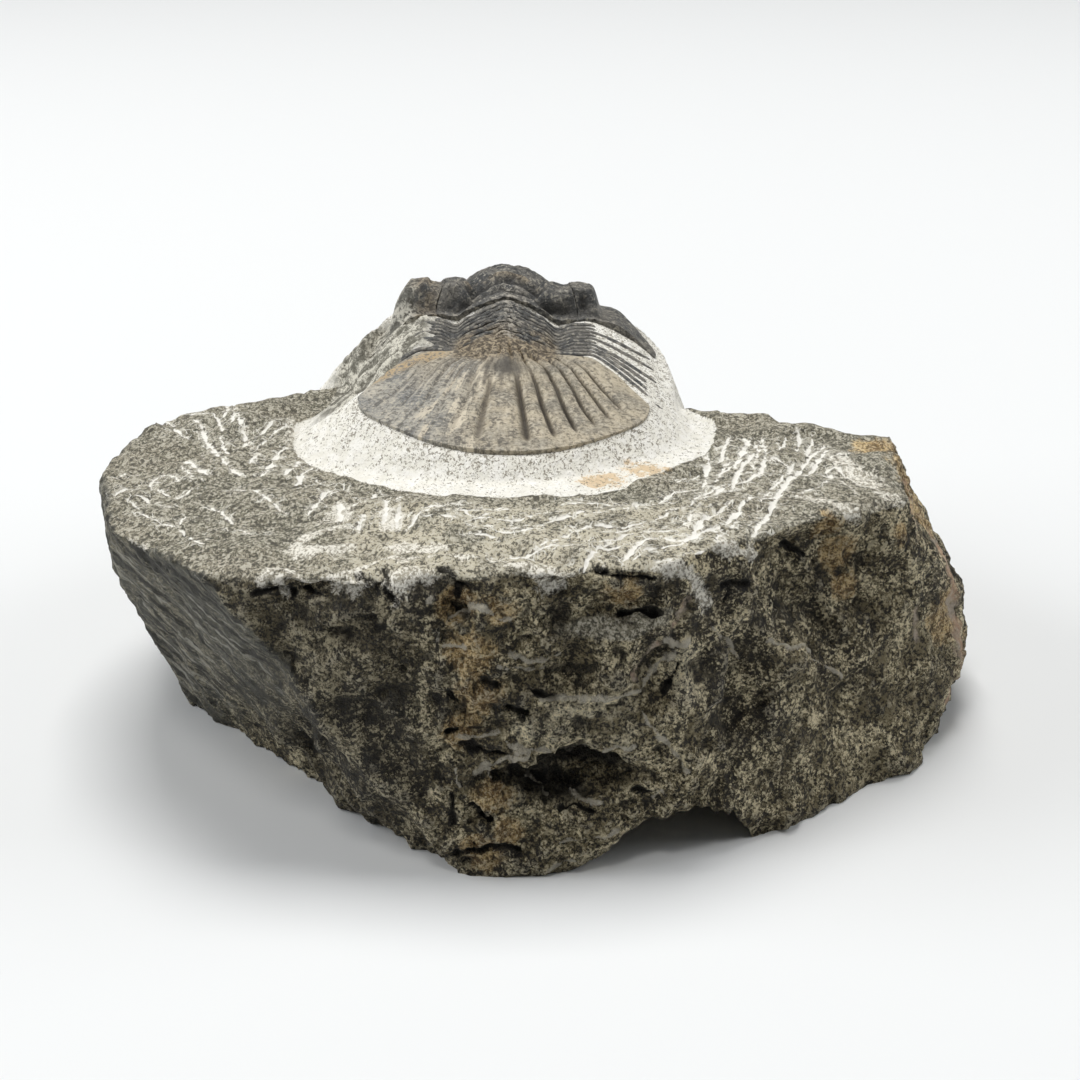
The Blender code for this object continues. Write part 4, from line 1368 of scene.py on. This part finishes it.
def along_slate(tree, place):
    """The place turned so that its first axis runs down the left flank's grain, and drawn out along it."""
    parts = []
    for direction, scale in (((0.702, -0.362, -0.613), 0.14), ((-0.176, -0.745, 0.641), 1.0),
                             ((-0.69, -0.56, -0.46), 1.0)):
        dot = add_node(tree, "VectorMath", {0: place, 1: direction}, operation="DOT_PRODUCT").outputs["Value"]
        parts.append(work_out(tree, "MULTIPLY", dot, scale))
    return add_node(tree, "CombineXYZ", dict(zip("XYZ", parts))).outputs[0]


def limestone_finish():
    finish, tree, shader, place = new_finish("limestone", 0.88)
    side, slate, bulge, stained = (attribute(tree, name) for name in ("side", "slate", "bulge", "ochre"))
    broad = grain(tree, place, 15.0, 3.0)
    streak = grain(tree, along_slate(tree, place), 1.5, 5.0, 0.7)
    stretch = (1.0, 0.6, 1.0)
    place = add_node(tree, "VectorMath", {0: place, 1: stretch}, operation="MULTIPLY").outputs["Vector"]
    patch = grain(tree, place, 3.4, 4.0, 0.6)
    mottle = grain(tree, place, 1.3, 4.0, 0.65)
    fine = grain(tree, place, 0.46, 3.0, 0.62, 1.1)
    crumb = grain(tree, place, 0.24, 2.0, 0.6, 0.8)
    bent = weigh_places(tree, place, fine, 0.25)
    flakes, specks = crystals(tree, bent, 0.36), crystals(tree, bent, 0.2)
    dust = weigh(tree, (fine, 0.6), (crumb, 0.4))
    grit = weigh(tree, (dust, 0.62), (flakes, 0.17), (specks, 0.15), (1.0, 0.03))
    clump = weigh(tree, (grit, 1.0), (mottle, 0.45), (patch, 0.2), (1.0, -0.325))
    dark_grit, pale_grit = ramp(tree, grit, 0.485, 0.435), ramp(tree, grit, 0.53, 0.575)

    # Top, broken sides, and the slaty face on the left. The sides are painted darker than the top, partly
    # their own tone and partly painted shade, and the front's left end darker still with painted shade
    top = lay(tree, mix(tree, (broad, 0.35, 0.65), (0.20, 0.188, 0.138), (0.275, 0.25, 0.185)),
              ((0.36, 0.335, 0.265), (patch, 0.5, 0.7), 0.6),
              ((0.58, 0.53, 0.40), attribute(tree, "bevel"), (patch, 0.36, 0.56), 0.85),
              ((0.055, 0.051, 0.040), dark_grit, 0.85),
              ((0.60, 0.57, 0.48), pale_grit, 0.7))
    # The broken sides' colours: darker than the top's, partly their own tone and partly painted shade
    front = lay(tree, mix(tree, (broad, 0.38, 0.62), (0.086, 0.070, 0.037), (0.20, 0.165, 0.090)),
                ((0.31, 0.27, 0.17), (patch, 0.50, 0.66), 0.8),
                ((0.040, 0.033, 0.020), (broad, 0.46, 0.36), (patch, 0.56, 0.44), 0.6),
                ((0.44, 0.40, 0.29), attribute(tree, "bruise"), (patch, 0.35, 0.6), 0.8),
                ((0.013, 0.011, 0.008), (clump, 0.485, 0.425), 0.92),
                ((0.85, 0.75, 0.51), (clump, 0.53, 0.59), (patch, 0.32, 0.60), 0.85),
                # Painted shade on the left end of the front
                ((0.012, 0.011, 0.008), attribute(tree, "dim"), 0.5))
    colour = lay(tree, mix(tree, side, top, front),
                 ((0.08, 0.08, 0.067), slate, 0.78),
                 ((0.018, 0.017, 0.014), slate, (streak, 0.50, 0.44), 0.88),
                 ((0.36, 0.35, 0.30), slate, (streak, 0.56, 0.62), 0.6))

    # Ochre stains, shadowed hollows, worn edges and calcite
    ochre = weigh(tree, (stained, 1.5), (patch, 1.5), (mottle, 1.0), (1.0, -1.25))
    earth = lay(tree, mix(tree, (mottle, 0.42, 0.62), (0.24, 0.145, 0.050), (0.60, 0.43, 0.20)),
                ((0.05, 0.033, 0.015), dark_grit, 0.75),
                ((0.80, 0.68, 0.44), pale_grit, 0.5))
    worn = weigh(tree, (bulge, 1.0), (fine, 1.0), (1.0, -0.5))
    vein = weigh(tree, (attribute(tree, "calcite"), 1.0), (mottle, 1.4), (fine, 1.2))
    pink = mix(tree, (patch, 0.4, 0.6), (0.60, 0.51, 0.41), (0.54, 0.36, 0.24))
    colour = lay(tree, colour,
                 (earth, (ochre, 0.3, 0.75), (stained, 0.0, 0.15), 0.85),
                 # Painted shade in the hollows, where bulge is below zero
                 ((0.014, 0.012, 0.009), (bulge, -0.25, -1.0), 0.8),
                 ((0.46, 0.42, 0.32), (worn, 0.4, 1.0), (grit, 0.46, 0.54), 0.5),
                 # Painted shade deep inside the crevices
                 ((0.006, 0.005, 0.004), attribute(tree, "deep"), 0.9),
                 (pink, (vein, 2.2, 1.5), 0.85))

    # Cracks, with painted shade in them and along a few lines of shade, pale lips and chalky bruises
    crack = weigh(tree, (attribute(tree, "crack"), 1.0), (fine, 1.2), (mottle, 1.4), (1.0, -1.3))
    lip = weigh(tree, (attribute(tree, "lip"), 1.0), (fine, 2.2), (mottle, 1.2), (1.0, -1.7))
    bruise = weigh(tree, (attribute(tree, "chalk"), -0.5), (attribute(tree, "rim"), 0.35), (patch, 1.6),
                   (mottle, 1.3), (fine, 1.5), (1.0, -1.5))
    chalk = mix(tree, (grit, 0.45, 0.53), (0.40, 0.37, 0.295), (0.86, 0.83, 0.75))
    colour = lay(tree, colour,
                 # Painted shade in the cracks and along the lines of shade
                 ((0.008, 0.007, 0.005), (crack, 1.3, 0.7), 0.92),
                 ((0.54, 0.50, 0.41), (lip, 1.3, 0.5), 0.8),
                 (chalk, (bruise, -0.05, 0.5), 0.9))

    # Tool grooves, and the web of fine scratches beside them
    line = weigh(tree, (attribute(tree, "groove"), 1.0), (fine, 1.3), (1.0, -0.65))
    strands = (weigh(tree, (grain(tree, place, 3.0, 1.5, 0.5, 0.7), 1.0), (fine, 0.05), (1.0, -0.525)),
               weigh(tree, (grain(tree, place, 1.9, 1.0, 0.5, 0.9), 1.0), (1.0, -0.47)))
    web = work_out(tree, "MINIMUM", *(work_out(tree, "ABSOLUTE", strand) for strand in strands))
    colour = lay(tree, colour,
                 ((0.74, 0.71, 0.63), (line, 3.0, 1.0), (mottle, 0.42, 0.6), 0.5),
                 ((0.82, 0.80, 0.73), (web, 0.014, 0.006), (line, 9.5, 4.0), (mottle, 0.40, 0.52), 0.85),
                 ((0.90, 0.88, 0.82), (line, 1.05, 0.6)))

    # Prepared ring, and the crust over the left pleurae
    stain = weigh(tree, (stained, 1.0), (mottle, 2.0), (fine, 1.0))
    near_shell = ramp(tree, attribute(tree, "shell_gap"), 6.0, 0.2)
    dots = weigh(tree, (dust, 1.0), (near_shell, 0.045), (patch, 0.12), (1.0, -0.06))
    band = attribute(tree, "band")
    tone = weigh(tree, (mottle, 1.0), (patch, 0.8), (dust, 0.7), (band, 0.26), (1.0, -0.75))
    crust = lay(tree, mix(tree, (tone, 0.36, 0.66), (0.16, 0.153, 0.122), (0.66, 0.635, 0.55)),
                ((0.09, 0.083, 0.065), dark_grit, 0.7))
    ring = lay(tree, mix(tree, (mottle, 0.4, 0.65), (0.83, 0.81, 0.735), (0.92, 0.905, 0.855)),
               ((0.66, 0.46, 0.23), (stain, 1.75, 2.1), (stained, 0.05, 0.3), 0.75),
               ((0.20, 0.175, 0.13), (dots, 0.555, 0.60), 0.85),
               (crust, attribute(tree, "crust")))
    edge = weigh(tree, (attribute(tree, "ring_edge"), 1.0), (fine, 0.4), (1.0, -0.2))
    colour = lay(tree, colour, (ring, (edge, 0.12, -0.12)))

    tree.links.new(colour, shader.inputs["Base Color"])
    strength = weigh(tree, (side, 0.6), (slate, -0.45), (1.0, 0.4))
    layers = ((patch, 1.4), (mottle, 1.0), (flakes, 0.16), (fine, 0.5), (specks, 0.08))
    give_bump(tree, shader, layers, strength)
    return finish


def shell_finish():
    finish, tree, shader, place = new_finish("dark_shell", 0.55)
    broad = grain(tree, place, 3.6, 4.0, 0.6)
    fine = grain(tree, place, 0.6, 4.0, 0.68, 0.6)
    brown = mix(tree, (fine, 0.44, 0.58), (0.085, 0.064, 0.040), (0.36, 0.295, 0.20))
    tone = weigh(tree, (broad, 0.6), (fine, 0.4))
    matrix = lay(tree, mix(tree, (tone, 0.44, 0.55), (0.13, 0.127, 0.105), (0.58, 0.555, 0.48)),
                 ((0.09, 0.083, 0.065), (fine, 0.48, 0.4)))
    colour = lay(tree, mix(tree, (broad, 0.38, 0.62), (0.066, 0.069, 0.070), (0.17, 0.160, 0.140)),
                 ((0.44, 0.41, 0.34), (fine, 0.53, 0.61), 0.7),
                 ((0.022, 0.021, 0.018), (fine, 0.47, 0.41), 0.7),
                 # Painted shade in the head's furrows, pits and seams, and along the edges of each thoracic
                 # plate
                 ((0.014, 0.013, 0.011), attribute(tree, "furrow"), 0.88),
                 (brown, attribute(tree, "crust"), (broad, 0.36, 0.52)),
                 ((0.46, 0.43, 0.37), attribute(tree, "keel"), (fine, 0.47, 0.6), 0.85),
                 (matrix, attribute(tree, "matrix")))
    tree.links.new(colour, shader.inputs["Base Color"])
    give_bump(tree, shader, ((broad, 0.35), (fine, 0.26)))
    return finish


def tail_finish():
    finish, tree, shader, place = new_finish("tail_shell", 0.52)
    broad = grain(tree, place, 5.5, 4.0, 0.6)
    fine = grain(tree, place, 0.55, 4.0, 0.68, 0.5)
    rib, reach, furrow = (attribute(tree, name) for name in ("rib", "reach", "furrow"))
    ray = add_node(tree, "CombineXYZ", {"X": rib, "Y": work_out(tree, "MULTIPLY", reach, 0.06)}).outputs[0]
    streak, bold = (add_node(tree, "TexNoise", {"Vector": ray, "Scale": scale, "Detail": detail,
                                                "Roughness": roughness}).outputs["Fac"]
                    for scale, detail, roughness in ((3.2, 4.0, 0.65), (1.7, 5.0, 0.6)))
    grey = mix(tree, (broad, 0.36, 0.64), (0.215, 0.222, 0.222), (0.36, 0.35, 0.315))
    crust = mix(tree, (fine, 0.44, 0.6), (0.075, 0.056, 0.034), (0.42, 0.345, 0.235))
    colour = lay(tree, mix(tree, (broad, 0.36, 0.62), (0.27, 0.245, 0.195), (0.50, 0.435, 0.32)),
                 ((0.17, 0.15, 0.12), (streak, 0.5, 0.42), (fine, 0.6, 0.45), 0.6),
                 (grey, (rib, -0.3, -3.2), 0.9),
                 ((0.42, 0.355, 0.25), (rib, -2.0, -5.5), (reach, 15.0, 8.0), 0.75),
                 ((0.55, 0.51, 0.43), (streak, 0.53, 0.62), (rib, 1.6, 0.4), 0.5),
                 ((0.72, 0.64, 0.50), (rib, -4.2, -2.6), (rib, 0.6, -0.6), (bold, 0.535, 0.59), 0.8),
                 ((0.075, 0.071, 0.064), (streak, 0.47, 0.39), (rib, 1.0, -0.6), 0.65),
                 ((0.64, 0.58, 0.46), (fine, 0.53, 0.60), 0.6),
                 ((0.10, 0.085, 0.06), (fine, 0.45, 0.39), 0.35),
                 ((0.09, 0.08, 0.063), (fine, 0.465, 0.40), 0.55),
                 # Furrows painted dark brown, and near black at their bottoms as painted shade
                 ((0.12, 0.10, 0.075), (furrow, 0.15, 0.7), 0.8),
                 ((0.035, 0.029, 0.022), (furrow, 0.6, 1.0), 0.75),
                 ((0.17, 0.145, 0.11), (reach, 11.0, 4.0), (streak, 0.56, 0.44), 0.6),
                 ((0.05, 0.045, 0.038), (reach, 4.0, 1.0), 0.8),
                 ((0.52, 0.375, 0.20), attribute(tree, "ochre"), (fine, 0.42, 0.54), 0.85),
                 (crust, attribute(tree, "crust")))
    tree.links.new(colour, shader.inputs["Base Color"])
    give_bump(tree, shader, ((streak, 0.22), (fine, 0.2)))
    return finish


# Stage

def add_camera():
    bpy.ops.object.camera_add(location=CAMERA_PLACE, rotation=(CAMERA_TILT, 0.0, 0.0))
    camera = bpy.context.object
    camera.data.lens = CAMERA_LENS
    camera.data.sensor_width = SENSOR
    camera.data.clip_start = 0.01
    bpy.context.scene.camera = camera


def add_soft_light(name, place, size, power, colour):
    """A square soft box that faces the fossil."""
    bpy.ops.object.light_add(type="AREA", location=place)
    light = bpy.context.object
    light.name = name
    light.data.size = size
    light.data.energy = power
    light.data.color = colour
    light.rotation_euler = (Vector((0, 0, 0.02)) - Vector(place)).to_track_quat("-Z", "Y").to_euler()


def set_stage():
    bpy.ops.mesh.primitive_plane_add(size=6.0, location=(0, 0, 0))
    floor = bpy.context.object
    floor.name = "floor"
    paper, _, shader, _ = new_finish("pale_paper", 0.9)
    shader.inputs["Base Color"].default_value = (0.81, 0.825, 0.835, 1.0)
    floor.data.materials.append(paper)
    add_soft_light("overhead", (-0.05, 0.46, 1.55), 0.75, 17.0, (1.0, 0.985, 0.96))
    add_soft_light("front_key", (-0.25, -0.6, 1.4), 0.3, 3.6, (1.0, 0.985, 0.95))
    add_soft_light("left_fill", (-1.4, 0.0, 0.75), 1.1, 14.0, (0.98, 0.99, 1.0))
    add_soft_light("right_fill", (1.4, 0.2, 0.8), 1.1, 8.5, (0.98, 0.99, 1.0))
    world = bpy.data.worlds.new("pale_room")
    world.use_nodes = True
    background = world.node_tree.nodes["Background"]
    background.inputs["Color"].default_value = (0.93, 0.95, 0.97, 1.0)
    background.inputs["Strength"].default_value = 0.12
    bpy.context.scene.world = world
    bpy.context.scene.view_settings.view_transform = "Standard"


def settle_on_block(piece, slot_name, *nodes):
    """Makes the piece part of the specimen, in place of the CAD nodes it stands for."""
    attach(piece, "root")
    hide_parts(*nodes)


def main():
    deselect_all()
    limestone, dark_shell, tail_shell = limestone_finish(), shell_finish(), tail_finish()
    settle_on_block(make_rock(limestone), "limestone", "matrix")
    settle_on_block(make_tail(tail_shell), "tail_shell", "pygidium")
    for k in range(1, SEGMENTS + 1):
        settle_on_block(make_segment(k, dark_shell), "shell", f"thoracic_segment_{k:02d}")
    settle_on_block(make_cranidium(dark_shell), "shell", "cranidium")
    settle_on_block(make_cheek("right_free_cheek_shell", 1.0, dark_shell), "shell", "right_free_cheek")
    settle_on_block(make_cheek("left_free_cheek_shell", -1.0, dark_shell), "shell", "left_free_cheek")
    deselect_all()
    set_stage()
    add_camera()


main()
